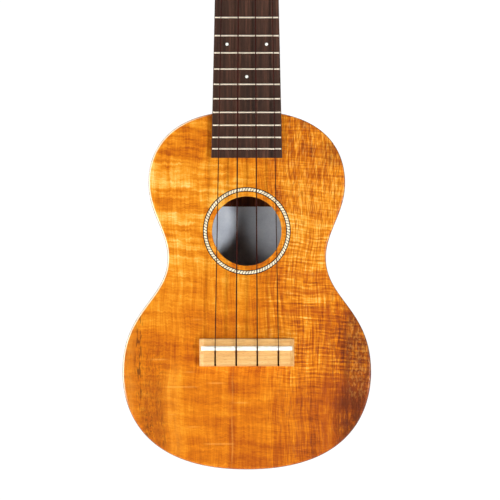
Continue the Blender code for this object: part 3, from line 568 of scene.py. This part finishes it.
def head_edge(start):
    edge = start + smooth_curve(HEAD_EDGE, 10)
    return edge + [(-x, y) for x, y in reversed(edge[:-1])]


def on_head(outline, low, high):
    """An outline on the headstock's face drawn out between two heights above that face."""
    return loft([[HEAD_MATRIX @ Vector((x, y, h)) for x, y in outline] for h in (low, high)])


def post_holes(radius=0.0033):
    sides, low, high = 40, -0.02, 0.01
    return [solid("hole", on_head(circle(radius, sides, post), low, high)) for post in POSTS]


def carve(neck):
    """Rounds the back and the shoulders of the headstock, but not the edges by the board and the face."""
    untouched, fade, smoothings = 0.0008, 0.0016, 26
    to_head = HEAD_MATRIX.inverted()
    group = neck.vertex_groups.new(name="carved")
    for vertex in neck.data.vertices:
        depth = -(to_head @ vertex.co).z if vertex.co.z > NUT_THICKNESS else vertex.co.y
        group.add([vertex.index], min(max((depth - untouched) / fade, 0), 1), "REPLACE")
    modify(neck, "SMOOTH", factor=0.5, iterations=smoothings, vertex_group=group.name)
    modify(neck, "DECIMATE", ratio=0.5)
    settle(neck)


def make_neck():
    """Neck, heel and headstock as one skin, so that each flows into the next."""
    loops = []
    for y, z, tilt, half, depth, full, share in smooth_curve(neck_stations(), 6):
        loops.append(neck_section(Vector((0, y, z)), tilt, half, depth, full, min(max(share, 0), 1)))
    neck = solid("neck_shape", loft(loops))
    body = [[(x, y, z) for x, z in body_outline(-0.0001)] for y in (-0.01, 0.08)]
    cut(neck, [solid("body_shape", loft(body))])
    head = solid("head_shape", on_head(head_edge([(0.0246, 0.0145)]), 0, -HEAD_THICKNESS))
    cut(head, post_holes())
    whole = solid("whole", taken(neck, head))
    modify(whole, "REMESH", mode="VOXEL", voxel_size=SKIN_VOXEL)
    modify(whole, "SMOOTH", factor=0.5, iterations=6)
    settle(whole)
    carve(whole)
    make_piece("neck_and_head", taken(whole), "mahogany", "neck", angle=180)
    edge = head_edge([(half, along) for along, half in smooth_curve(NECK_FLARE[:-1], 4)])
    veneer = solid("veneer", on_head(edge, 0, GAP + VENEER_THICKNESS))
    cut(veneer, post_holes(0.0034))
    make_piece("headstock_face", taken(veneer), "koa_head", "headstock_veneer", bevel=0.0004)


def make_tuners():
    collar = [(0.0032, 0), (0.0052, 0), (0.0052, 0.0004), (0.0048, 0.0008), (0.004, 0.001),
              (0.0034, 0.0009), (0.0032, 0.0006)]
    for number, (x, y) in enumerate(POSTS, 1):
        plate, post = f"tuner_plate_{number}", f"tuner_post_{number}"
        make_piece(f"tuner_base_{number}", refined(plate), "nickel", plate, bevel=0.00022)
        make_piece(f"capstan_{number}", refined(post), "brass", post, f"post_{number}", 36)
        make_key(number)
        matrix = HEAD_MATRIX @ Matrix.Translation((x, y, GAP + VENEER_THICKNESS))
        bushing = loft(turned(collar), cyclic=True)
        make_piece(f"bushing_{number}", bushing, "nickel", matrix=matrix, angle=25)
        for side, sign in SIDES:
            place = Matrix.Translation((x + sign * 0.0039, y + 0.0056, PLATE_BACK))
            make_screw(f"screw_{number}_{side}", HEAD_MATRIX @ place)


def make_screw(name, matrix):
    """A domed head with a slot, facing away from the strings."""
    dome = [(0.0013, 0.0002), (0.0013, -0.0002), (0.0011, -0.0005), (0.0007, -0.0007), (0.0002, -0.00075)]
    head = solid("screw", loft(turned(dome, 24)))
    half, long, floor = 0.00016, 0.002, -0.00045
    corners = ((-half, -long), (half, -long), (half, long), (-half, long))
    slot = solid("slot", loft([[(x, y, h) for x, y in corners] for h in (floor, -long)]))
    # Each screw stops at an angle of its own
    slot.rotation_euler.z = radians(35 * sum(map(ord, name)) % 180)
    cut(head, [slot])
    make_piece(name, taken(head), "nickel", matrix=matrix)


def make_key(number):
    """The worm, its shaft and the button, smoothed from the CAD's cage."""
    node = f"tuner_key_{number}"
    bm = welded(node)
    limits = {"angle_face_threshold": radians(50), "angle_shape_threshold": radians(60)}
    bmesh.ops.join_triangles(bm, faces=bm.faces, **limits)
    key = make_piece(f"key_{number}_turned", bm, "nickel", node, f"key_{number}", 180)
    modify(key, "SUBSURF", levels=2, render_levels=2)


def make_cord(name, points, radius, node=None, body="instrument", cyclic=False):
    curve = bpy.data.curves.new(name, "CURVE")
    curve.dimensions = "3D"
    curve.bevel_depth = radius
    curve.bevel_resolution = 4
    curve.use_fill_caps = True
    curve.materials.append(LOOKS["nylon"])
    spline = curve.splines.new("POLY")
    spline.points.add(len(points) - 1)
    spline.use_cyclic_u = cyclic
    for point, place in zip(spline.points, points):
        point.co = (*place, 1)
    spline.use_smooth = True
    return register(add_object(name, curve), node, body)


def make_strings():
    """Each string runs from its knot over the saddle and the nut to the turns on its post."""
    post_radius, arrival, knot_radius = 0.0024, 0.0056, 0.00024
    for i, (radius, (post_x, post_y)) in enumerate(zip(STRING_RADII, POSTS)):
        number = i + 1
        inwards = -1 if post_x > 0 else 1
        saddle_x, nut_x = spread(SADDLE_SPREAD)[i], spread(NUT_SPREAD)[i]
        turn = post_radius + radius
        touch = HEAD_MATRIX @ Vector((post_x + inwards * turn, post_y - 0.0004, arrival))
        saddle_y, nut_y = SADDLE_TOP_Y - radius, NUT_TOP_Y + NUT_GROOVE - radius
        # Up from the slot behind the saddle, over it and on to the nut
        rise = (
            (SADDLE_SLOT_Y - radius, BRIDGE_REAR_Z + 0.0012),
            (SADDLE_SLOT_Y - 0.0012, BRIDGE_REAR_Z + 0.0028),
            (saddle_y + 0.0011, SADDLE_Z - 0.0016), (saddle_y + 0.0003, SADDLE_Z - 0.0008),
            (saddle_y, SADDLE_Z), (saddle_y, SADDLE_Z + 0.0008))
        route = [(saddle_x, y, z) for y, z in rise]
        route += [(nut_x, nut_y, z) for z in (0, NUT_THICKNESS * 0.45)]
        leave = Vector((nut_x, nut_y + 0.0004, NUT_THICKNESS))
        route += [leave, leave.lerp(touch, 0.5), touch]
        make_cord(f"string_{number}_line", route, radius, f"string_{number}")
        turns = winding(post_x, post_y, turn, inwards, radius)
        make_cord(f"string_{number}_turns", turns, radius, f"string_wrap_{number}", f"post_{number}")
        centre = Vector((saddle_x, SADDLE_SLOT_Y - 0.0007, BRIDGE_REAR_Z + 0.0008))
        make_cord(f"string_{number}_knot", knot(centre), knot_radius, cyclic=True)


def winding(x, y, radius, inwards, thickness):
    """Three turns down the post's waist, from where the string arrives."""
    turns, steps, top = 3, 28, 0.0064
    start = 0 if inwards > 0 else pi
    climb = min(2 * thickness * 1.04, 0.00074)
    points = []
    for i in range(turns * steps + 1):
        share = i / steps
        angle = start - inwards * 2 * pi * share
        place = (x + radius * cos(angle), y + radius * sin(angle), top - climb * share)
        points.append(HEAD_MATRIX @ Vector(place))
    return points


def knot(centre):
    """A trefoil, as the string is tied behind the bridge."""
    size, steps = 0.00026, 42
    shapes = [(cos(t) - 2 * cos(2 * t), -1.4 * sin(3 * t), sin(t) + 2 * sin(2 * t)) for t in full_turn(steps)]
    return [centre + Vector(shape) * size * 0.8 for shape in shapes]


# ---- materials


def linear(colour):
    """An sRGB colour of 0 to 255 as linear light."""
    return tuple((c / 255 / 12.92) if c <= 10 else ((c / 255 + 0.055) / 1.055) ** 2.4 for c in colour) + (1,)


class Nodes:
    """A node tree, built from a few short calls."""

    def __init__(self, tree):
        self.tree = tree

    def put(self, socket, value):
        if isinstance(value, bpy.types.NodeSocket):
            self.tree.links.new(value, socket)
        else:
            socket.default_value = value

    def add(self, kind, settings=None, **inputs):
        node = self.tree.nodes.new("ShaderNode" + kind)
        for key, value in (settings or {}).items():
            setattr(node, key, value)
        for key, value in inputs.items():
            self.put(node.inputs[key.replace("_", " ")], value)
        return node

    def fill(self, kind, settings, *values):
        """The first output of a node whose inputs take these values in turn."""
        node = self.add(kind, settings)
        for socket, value in zip(node.inputs, values):
            self.put(socket, value)
        return node.outputs[0]

    def step(self, value, low, high, to_low=0, to_high=1):
        """Rises smoothly from to_low, where the value is low, to to_high, where it is high."""
        limits = {"From_Min": low, "From_Max": high, "To_Min": to_low, "To_Max": to_high}
        return self.add("MapRange", {"interpolation_type": "SMOOTHSTEP"}, Value=value, **limits).outputs[0]

    def for_camera(self, others, camera, output):
        """One shader for the camera's own rays and another for the rest."""
        seen = self.add("LightPath").outputs["Is Camera Ray"]
        both = self.fill("MixShader", None, seen, others, camera)
        self.put(self.tree.nodes[output].inputs["Surface"], both)


LOOKS = {}


class Look(Nodes):
    """A material. Positions are in millimetres."""

    def __init__(self, name, roughness, across=(1, 0, 0), along=(0, 0, 1), **sockets):
        self.across, self.along = Vector(across), Vector(along)
        self.material = LOOKS[name] = bpy.data.materials.new(name)
        self.material.use_nodes = True
        super().__init__(self.material.node_tree)
        self.shader = self.tree.nodes["Principled BSDF"]
        self.roughness = roughness
        for socket, value in {"Roughness": roughness, **sockets}.items():
            self.shader.inputs[socket.replace("_", " ")].default_value = value
        place = self.add("TexCoord").outputs["Object"]
        self.place = self.vector("SCALE", place, Scale=1000)
        self.x, _, self.z = self.add("SeparateXYZ", Vector=self.place).outputs

    def math(self, operation, *values):
        return self.fill("Math", {"operation": operation}, *values)

    def times(self, *values):
        return reduce(lambda a, b: self.math("MULTIPLY", a, b), values)

    def plus(self, a, b):
        return self.math("ADD", a, b)

    def minus(self, a, b):
        return self.math("SUBTRACT", a, b)

    def scaled(self, a, b, c):
        """a times b, plus c."""
        return self.math("MULTIPLY_ADD", a, b, c)

    def vector(self, operation, a, *others, **inputs):
        node = self.add("VectorMath", {"operation": operation}, **inputs)
        for socket, value in zip(node.inputs, (a, *others)):
            self.put(socket, value)
        return node.outputs["Value" if operation == "LENGTH" else "Vector"]

    def flat(self, x, z):
        """A place on the face of the soundboard."""
        return self.add("CombineXYZ", X=x, Y=0, Z=z).outputs[0]

    def noise(self, stretch, detail=3, roughness=0.55, distortion=0, place=None, shift=0):
        at = self.vector("MULTIPLY_ADD", place or self.place, stretch, (shift, shift * 1.7, shift * 0.6))
        shape = {"Detail": detail, "Roughness": roughness, "Distortion": distortion}
        return self.add("TexNoise", Vector=at, Scale=1, **shape).outputs["Fac"]

    def cloud(self, size, *shape, **options):
        """Noise that is as long one way as another."""
        return self.noise((size, size, size), *shape, **options)

    def grain(self, across, along, shift=0, detail=2, roughness=0.5, distortion=0, place=None):
        """Noise with its own fineness across and along the wood."""
        stretch = self.across * across + self.along * along
        return self.noise(stretch, detail, roughness, distortion, place, shift)

    def ramp(self, value, *stops):
        """Colours for the value, from rows of place, red, green and blue."""
        node = self.add("ValToRGB", Fac=value)
        elements = node.color_ramp.elements
        while len(elements) < len(stops):
            elements.new(0.5)
        for element, (place, *colour) in zip(elements, stops):
            element.position = place
            element.color = linear(colour)
        return node.outputs["Color"]

    def mix(self, a, b, *shares):
        """Colour a, with as much of colour b as the product of the shares."""
        node = self.add("Mix", {"data_type": "RGBA"})
        for i, value in ((0, self.times(*shares)), (6, a), (7, b)):
            self.put(node.inputs[i], linear(value) if isinstance(value, tuple) else value)
        return node.outputs[2]

    def sum(self, *terms):
        """Adds (value, weight) pairs, each value centred on a half."""
        return reduce(self.plus, [self.times(self.minus(value, 0.5), weight) for value, weight in terms])

    def patch(self, x0, x1, z0, z1, soft_x, soft_z, x=None):
        """One inside a soft-edged box of the face, and nothing outside it."""
        sides = []
        for along, low, high, soft in ((x or self.x, x0, x1, soft_x), (self.z, z0, z1, soft_z)):
            rise = self.step(along, low - soft, low + soft)
            sides.append(self.times(rise, self.step(along, high - soft, high + soft, 1, 0)))
        return self.times(*sides)

    def edged(self, colour, tint, strength, start, full):
        """Another colour where a plate's surface turns away from its face, from one slope to another."""
        normal = self.add("SeparateXYZ", Vector=self.add("NewGeometry").outputs["Normal"])
        facing = self.math("ABSOLUTE", normal.outputs["Y"])
        return self.mix(colour, tint, self.step(facing, start, full), strength)

    def shine(self, value, below, above):
        """Roughness from the value: between two steps below and above the look's own."""
        limits = {"To_Min": self.roughness - below, "To_Max": self.roughness + above}
        return self.add("MapRange", Value=value, **limits).outputs[0]

    def finish(self, colour, height=None, depth=None, roughness=None):
        """Gives the shader its colour, a relief as deep as depth, in millimetres, and how rough it is."""
        sockets = {"Base Color": colour}
        if height is not None:
            sockets["Normal"] = self.add("Bump", Height=height, Strength=1, Distance=depth / 1000).outputs[0]
        if roughness is not None:
            sockets["Roughness"] = roughness
        for socket, value in sockets.items():
            self.put(self.shader.inputs[socket], value)


KOA_TONES = ((0, 98, 40, 12), (0.26, 164, 76, 8), (0.48, 202, 112, 10), (0.66, 220, 140, 30),
             (0.82, 232, 170, 72), (1, 244, 200, 124))
# Lighter and darker stretches of the soundboard: left, right, low and high edge in millimetres, how soft the
# edges are across and along, and how much lighter
KOA_AREAS = (
    (-90, -26, -312, -190, 20, 26, 0.11),
    (-30, 8, -250, -220, 10, 12, 0.07),
    (-50, -22, -222, -190, 12, 10, -0.1),
    (-36, 90, -440, -318, 10, 14, -0.05),
    (-90, -30, -370, -322, 10, 10, -0.04),
    (20, 90, -332, -286, 16, 16, -0.02),
    (26, 90, -440, -330, 16, 12, -0.05),
    (26, 90, -440, -386, 16, 8, -0.06),
    (-50, 40, -440, -374, 16, 3, -0.04),
    (-56, -12, -440, -362, 6, 10, 0.05),
    (43, 90, -440, -372, 0.8, 4, -0.05),
    (61, 96, -430, -388, 5, 9, -0.05),
    (63.5, 96, -396, -318, 2.5, 6, -0.14),
    (30, 80, -300, -236, 16, 20, 0.05),
    (24, 44, -226, -196, 5, 10, -0.08),
)
# Its streaks and stains, with their strength and colour
KOA_STREAKS = (
    (-72, -55, -424, -374, 3, 10, 0.55, (146, 70, 16)),
    (-86, -74, -425, -322, 4, 12, 0.3, (178, 98, 28)),
    (-84, -76, -420, -330, 3, 14, 0.3, (226, 152, 52)),
    (-54, -46, -430, -366, 3, 10, 0.2, (232, 162, 60)),
    (54, 90, -440, -372, 8, 12, 0.5, (146, 60, 12)),
    (66, 96, -436, -322, 3, 8, 0.65, (88, 38, 14)),
    (60, 96, -436, -384, 5, 8, 0.6, (78, 32, 12)),
    (51, 68, -228, -214, 4, 4, 0.75, (120, 56, 16)),
    (20, 70, -305.5, -302, 14, 1.6, 0.6, (170, 76, 12)),
    (16, 70, -317.5, -314, 14, 1.6, 0.5, (170, 76, 12)),
    (20, 70, -331, -327, 14, 1.8, 0.6, (166, 72, 12)),
    (13, 15, -350, -312, 1, 6, 0.6, (176, 70, 12)),
    (-10.5, -9.6, -440, -372, 0.5, 12, 0.35, (226, 158, 68)),
    (52, 56, -420, -330, 2, 16, 0.4, (158, 70, 16)),
)
# Thin pale lines across the grain: left and right end, and height
KOA_GLINTS = (
    (-67.2, -53, -361.4), (-43.2, -34.9, -370), (-27.7, -14.1, -377.5),
    (-56.8, -32.3, -380.1), (-10.3, 2.6, -390.9), (-54.3, -47.8, -398.8),
    (-41, -32, -407.3), (-29.7, -7.7, -418.9), (-37.6, -29.7, -334.2),
)
# Where it is flecked, in the same terms, with how fine the flecks are across and along
KOA_FLECKS = (
    (-74.6, -70.6, -396, -326, 1.4, 10, 0.75, (78, 36, 12), 0.9, 0.14),
    (-74, -56, -426, -352, 4, 10, 0.4, (108, 52, 12), 0.8, 0.35),
    (-60, -57, -422, -382, 1.4, 8, 0.5, (92, 42, 12), 0.8, 0.14),
    (-70, -64, -418, -396, 2, 6, 0.6, (80, 38, 12), 0.8, 0.4),
    (68.5, 96, -386, -326, 3, 8, 0.36, (200, 136, 60), 0.8, 0.36),
    (56, 84, -378, -312, 6, 12, 0.45, (110, 46, 12), 0.8, 0.16),
)


def koa(name, across, along):
    """Grain lines run along, and pale bars of curl cross them; across and along are shares of each axis."""
    look = Look(name, 0.3, across, along, Specular_IOR_Level=0.15, Coat_Weight=0.15, Coat_Roughness=0.07)
    fibres = look.grain(0.42, 0.012, 13, roughness=0.6)
    roll = look.grain(0.02, 0.012, 19)
    lift = look.sum((fibres, 3), (roll, 14))
    moved = look.vector("ADD", look.place, look.vector("SCALE", look.along, Scale=lift))
    grain = look.grain(0.12, 0.005, 0, 4, 0.7, 0.2)
    fine = look.grain(1.3, 0.05, 7, roughness=0.7)
    bands = look.step(look.grain(0.028, 0.15, 11, 2, 0.5, 0.2, moved), 0.32, 0.68)
    bars = look.grain(0.085, 0.42, 41, 2, 0.6, 0.2, moved)
    hairs = look.grain(0.3, 1.5, 43, 1, place=moved)
    broad = look.grain(0.02, 0.03, 5)
    pores = look.step(look.grain(2, 0.17, 3, 1), 0.6, 0.72)
    tone = look.sum((grain, 0.9), (broad, 0.4), (fine, 0.35), (bands, 0.2), (bars, 0.6), (hairs, 0.16))
    colour = look.ramp(look.plus(tone, 0.46), *KOA_TONES)
    colour = look.mix(colour, (98, 42, 12), pores, 0.45)
    look.finish(colour, look.minus(fine, pores), 0.04, look.shine(fine, 0.04, 0.12))


def koa_top():
    """The soundboard's figure: pale bars of curl at the upper left, dashes at the upper right, ripples from the
    right waist down, and a dark stain at the right edge."""
    look = Look("koa_top", 0.3, Specular_IOR_Level=0.12, Coat_Weight=0.1, Coat_Roughness=0.08)
    x, z, noise, step = look.x, look.z, look.grain, look.step
    times, plus, scaled = look.times, look.plus, look.scaled

    # The grain sways, and the curl that crosses it breaks from fibre to fibre
    sway = noise(0.012, 0.016, 2)
    across = scaled(look.minus(sway, 0.5), 10, x)
    bent = look.flat(across, z)
    fibres = noise(0.42, 0.012, 13, 2, 0.6, place=bent)
    roll = noise(0.02, 0.015, 19, place=bent)
    jog = scaled(step(x, 0, 24), -2.3, 3)
    jogs = times(look.minus(fibres, 0.5), jog)
    lift = plus(plus(look.sum((roll, 8)), jogs), z)
    level = plus(lift, times(x, 0.05))
    broken = look.flat(across, level)

    # Parts of the board
    right = step(x, 2, 34)
    right_low = times(right, step(z, -272, -300))
    right_high = times(right, step(z, -302, -262))
    left_high = times(step(x, 16, -20), step(z, -322, -262))
    rippled = times(right, look.patch(-100, 100, -378, -268, 1, 12))

    # Figure
    grain = noise(0.12, 0.005, 0, 4, 0.7, 0.2, bent)
    fine = noise(1.3, 0.05, 7, 2, 0.7, place=bent)
    bands = step(noise(0.028, 0.17, 11, 2, 0.5, 0.2, broken), 0.32, 0.68)
    bars = noise(0.085, 0.5, 41, 2, 0.6, 0.2, broken)
    hairs = noise(0.3, 1.7, 43, 1, place=broken)
    broad = noise(0.018, 0.03, 9, 2, 0.5, 0.5, bent)
    phase = plus(look.sum((roll, 12), (bars, 7)), times(level, 2.3))
    ripple = scaled(look.math("SINE", phase), 0.5, 0.5)
    clumps = step(noise(0.1, 0.16, 31, 2, 0.6, place=broken), 0.36, 0.62, 0.1)
    ripple_weight = times(clumps, scaled(rippled, 0.22, 0.03))
    bar_weight = scaled(left_high, 0.22, scaled(rippled, 0.3, 0.3))
    band_weight = scaled(left_high, 0.16, scaled(right_low, -0.04, 0.13))
    fine_weight = scaled(right_high, 0.35, scaled(right_low, 0.35, 0.3))
    tone = look.sum((grain, 0.7), (broad, 0.35), (fine, fine_weight), (bands, band_weight),
                    (bars, bar_weight), (hairs, 0.26), (ripple, ripple_weight))
    warp = step(noise(0.8, 0.055, 51, place=bent), 0.3, 0.7)
    weft = step(noise(0.055, 0.85, 53, place=broken), 0.3, 0.7)
    woven = times(step(x, 0, 30, 0.1, 0.28), step(z, -390, -366, 0.3))
    tone = plus(tone, times(look.sum((warp, 1), (weft, 0.9)), woven))
    tone = plus(tone, 0.5)
    for *box, lighter in KOA_AREAS:
        tone = scaled(look.patch(*box), lighter, tone)
    colour = look.ramp(tone, *KOA_TONES)

    # Pores, dashes, streaks, pale lines and flecks
    leaning = look.flat(scaled(z, -0.12, x), z)
    dashes = noise(1.5, 0.15, 3, 1, place=leaning)
    pores = times(step(dashes, 0.54, 0.64), right_high)
    glints = times(step(dashes, 0.46, 0.34), right_high)
    even = step(noise(2, 0.17, 21, 1, place=bent), 0.58, 0.7)
    even = times(even, scaled(right_low, 0.6, 0.2))
    colour = look.mix(colour, (146, 70, 14), pores, 0.6)
    colour = look.mix(colour, (232, 172, 78), glints, 0.4)
    colour = look.mix(colour, (112, 46, 10), even, 0.55)
    crumble = step(noise(0.5, 0.14, 15, 3, 0.7, 0.5, bent), 0.34, 0.6, 0.25)
    for *box, strength, tint in KOA_STREAKS:
        colour = look.mix(colour, tint, look.patch(*box, across), crumble, strength)
    for x0, x1, height in KOA_GLINTS:
        there = look.patch(x0 + 2, x1 - 2, height - 0.4, height + 0.4, 4, 0.5)
        colour = look.mix(colour, (248, 186, 84), there, 0.34)
    for i, (*box, strength, tint, dense_x, dense_z) in enumerate(KOA_FLECKS):
        flecks = step(noise(dense_x, dense_z, 47 + 3 * i, 2, 0.6, place=bent), 0.5, 0.6)
        colour = look.mix(colour, tint, look.patch(*box, across), flecks, strength)

    # A painted highlight along the left rim, and painted shade as a dark line where the edge turns down
    painted_highlight_side = times(step(x, -20, -50), step(z, -396, -372))
    colour = look.edged(colour, (255, 238, 206), times(painted_highlight_side, 0.8), 0.996, 0.93)
    colour = look.edged(colour, (70, 34, 14), 0.9, 0.88, 0.45)
    look.finish(colour, look.minus(fine, even), 0.03, look.shine(fine, 0.04, 0.12))


def plain_wood(name, roughness, tones, pore_colour=None, across=(1, 1, 0), along=(0, 0, 1), fineness=1,
               depth=0.06):
    """Straight-grained wood with pores, for everything that isn't figured koa."""
    look = Look(name, roughness, Vector(across) * fineness, Vector(along) * fineness, Specular_IOR_Level=0.15)
    grain = look.grain(0.45, 0.014, 0, 4, 0.6, 0.3)
    fine = look.grain(2.6, 0.07, 4, 2, 0.6)
    colour = look.ramp(look.plus(look.sum((grain, 1.3), (fine, 0.5)), 0.5), *tones)
    pores = look.step(look.grain(4.2, 0.3, 9, 1), 0.6, 0.72)
    if pore_colour:
        colour = look.mix(colour, pore_colour, pores, 0.6)
    look.finish(colour, look.minus(fine, pores), depth, look.shine(fine, 0.07, 0.1))


def rope_inlay():
    """Slanted cream strands with dark lines between them, round the sound hole."""
    look = Look("rope_inlay", 0.4, Specular_IOR_Level=0.25)
    strands = 92
    depth = look.minus(look.z, HOLE_Z * 1000)
    angle = look.math("ARCTAN2", depth, look.x)
    radius = look.math("SQRT", look.plus(look.times(look.x, look.x), look.times(depth, depth)))
    slant = look.times(look.minus(radius, 1000 * sum(ROSETTE_RADII) / 2), 1.5)
    jitter = look.cloud(0.9, 2)
    strand = look.math("SINE", look.scaled(jitter, 1.6, look.scaled(angle, strands, slant)))
    cream = look.ramp(jitter, (0.3, 206, 180, 130), (0.7, 250, 244, 222))
    colour = look.mix((64, 42, 24), cream, look.step(strand, -0.95, -0.45))
    look.finish(colour, look.step(strand, -0.95, -0.2), 0.05)


def speckled(name, tones, roughness, scale, depth=0.01, **sockets):
    """Bone, paper, plastic: a cloudy colour with a little relief."""
    look = Look(name, roughness, **sockets)
    cloud = look.cloud(scale, 4, 0.6)
    grit = look.cloud(scale * 9, 2, 0.5, shift=6)
    colour = look.ramp(look.plus(look.sum((cloud, 1.2), (grit, 0.4)), 0.5), *tones)
    look.finish(colour, grit, depth, look.shine(grit, 0.06, 0.08))


def metal(name, dark, bright, roughness, metallic=1):
    """Polished metal with fine scratches and a faint bloom."""
    look = Look(name, roughness, Metallic=metallic)
    bloom = look.cloud(0.6, 3, 0.6)
    scratches = look.noise((1.5, 14, 14), 2, 0.6, shift=8)
    colour = look.ramp(bloom, (0.3, *dark), (0.7, *bright))
    look.finish(colour, scratches, 0.002, look.plus(look.times(bloom, 0.16), roughness - 0.06))


def make_materials():
    koa_top()
    koa("koa_back", (1, 1, 0), (0, 0, 1))
    koa("koa_side", (0, 1, 0), (1, 0, 1))
    koa("koa_head", (1, 0, 0), (0, 1, 1))
    plain_wood("mahogany", 0.42, (
        (0.15, 84, 40, 20), (0.45, 120, 62, 31), (0.6, 136, 74, 40), (0.9, 162, 96, 56)), (60, 26, 13))
    plain_wood("raw_koa", 0.7, (
        (0.15, 60, 26, 12), (0.45, 92, 42, 18), (0.6, 108, 52, 22), (0.9, 134, 70, 32)), (40, 18, 9))
    plain_wood("spruce", 0.65, (
        (0.2, 196, 150, 92), (0.5, 226, 190, 132), (0.85, 240, 214, 164)), fineness=1.4)
    plain_wood("rosewood", 0.6, (
        (0.15, 30, 17, 11), (0.4, 50, 31, 22), (0.6, 64, 40, 29), (0.85, 98, 60, 44)), (22, 10, 7))
    plain_wood("pale_wood", 0.5, (
        (0.1, 172, 114, 58), (0.4, 204, 152, 88), (0.65, 214, 170, 108), (0.95, 228, 190, 136)),
        (160, 102, 52), (0, 1, 1), (1, 0, 0), depth=0.03)
    speckled("bone", ((0.2, 232, 224, 202), (0.6, 248, 244, 232), (0.9, 255, 253, 246)), 0.3, 0.25,
             Subsurface_Weight=0.08)
    speckled("pearl", ((0.2, 214, 218, 216), (0.5, 240, 240, 232), (0.8, 255, 252, 244)), 0.2, 0.9)
    speckled("paper", ((0.2, 214, 220, 232), (0.6, 232, 238, 248), (0.9, 242, 246, 252)), 0.85, 0.12, 0.03)
    speckled("ebony", ((0.2, 10, 8, 6), (0.6, 20, 15, 12), (0.9, 34, 26, 21)), 0.5, 1.1,
             Specular_IOR_Level=0.12)
    speckled("nylon", ((0.2, 34, 6, 2), (0.6, 52, 10, 4), (0.9, 74, 17, 7)), 0.45, 0.5, 0.004,
             Specular_IOR_Level=0.07)
    rope_inlay()
    metal("fret_wire", (212, 198, 174), (238, 226, 206), 0.42, 0.35)
    metal("nickel", (188, 186, 180), (226, 224, 218), 0.24)
    metal("brass", (196, 160, 92), (226, 196, 128), 0.28)


def finish_carried_nodes():
    """The CAD nodes that stay in view, or inside the sound box, take finished materials."""
    looks = {"label": "paper", "neck": "mahogany", "tail": "mahogany"}
    for name, node in NODES.items():
        if not node.hide_render:
            for slot in node.material_slots:
                slot.material = LOOKS[looks.get(name.split("_")[0], "spruce")]


# ---- floor, light and camera


def make_floor():
    """A pale floor that shades away to the white behind it, so that no horizon shows."""
    floor = solid("floor", loft(turned([(4, -1.1), (4, -1.098), (3.9, -1.09), (0.4, -1.09)], 96)))
    look = Look("floor", 0.9)
    cloud = look.cloud(0.003, 3)
    look.finish(look.ramp(cloud, (0.3, 240, 240, 241), (0.7, 250, 250, 250)))
    away = look.vector("LENGTH", look.vector("MULTIPLY", look.place, (1, 1, 0)))
    shade = look.ramp(look.step(away, 300, 3000), (0, 238, 238, 239), (1, 255, 255, 255))
    mottle = look.ramp(cloud, (0.3, 0, 0, 0), (0.7, 255, 255, 255))
    pale = look.add("Emission", Color=look.mix(shade, mottle, 0.03)).outputs[0]
    look.for_camera(look.shader.outputs[0], pale, "Material Output")
    floor.data.materials.append(look.material)


def area_light(name, place, size, power, colour=(1, 1, 1), target=(0, 0, -0.27)):
    data = bpy.data.lights.new(name, "AREA")
    data.shape = "RECTANGLE"
    data.size, data.size_y = size
    data.energy = power
    data.color = colour
    light = add_object(name, data)
    light.location = place
    light.rotation_euler = (Vector(target) - Vector(place)).to_track_quat("-Z", "Y").to_euler()
    light.visible_camera = False


def light_scene():
    """A small key light from the right, a fill, a strip at the left edge, one behind and one above."""
    area_light("key", (1.09, -1.7, -0.5), (0.22, 0.22), 28, (0.97, 0.985, 1))
    area_light("second", (-1.02, -1.74, -0.38), (0.6, 0.6), 13.2, (1, 0.985, 0.96))
    area_light("strip", (-1.9, 0.1, -0.28), (0.3, 1.2), 36)
    area_light("rear", (0.6, 1.9, 0.6), (1.6, 1.6), 26)
    area_light("ceiling", (0, 1, 4), (3, 3), 180, target=(0, 1, -1))


def make_surround():
    """White to the camera, and for the rest a soft glow that is dim behind the camera."""
    world = bpy.data.worlds.new("studio")
    bpy.context.scene.world = world
    world.use_nodes = True
    sky = Nodes(world.node_tree)
    seen = sky.tree.nodes["Background"]
    seen.inputs["Color"].default_value = (1, 1, 1, 1)
    seen.inputs["Strength"].default_value = 1.05
    direction = sky.add("SeparateXYZ", Vector=sky.add("TexCoord").outputs["Generated"])
    level = sky.step(direction.outputs["Y"], -0.97, -0.55, 0.04, 0.34)
    glow = sky.add("Background", Color=(0.97, 0.98, 1, 1), Strength=level)
    sky.for_camera(glow.outputs[0], seen.outputs[0], "World Output")


def make_camera():
    """Square on to the soundboard, through a long lens."""
    distance, seen_width = 3, 0.34
    data = bpy.data.cameras.new("camera")
    data.sensor_width = 36
    data.lens = data.sensor_width * distance / seen_width
    camera = add_object("camera", data)
    camera.location = (0.0022, -distance, -0.287)
    camera.rotation_euler = (pi / 2, 0, 0)
    bpy.context.scene.camera = camera


def main():
    bpy.context.scene.view_settings.view_transform = "Standard"
    make_materials()
    make_sound_box()
    make_bridge()
    make_fingerboard()
    make_nut()
    make_neck()
    make_tuners()
    make_strings()
    finish_carried_nodes()
    make_floor()
    light_scene()
    make_surround()
    make_camera()
    bpy.context.view_layer.update()


main()
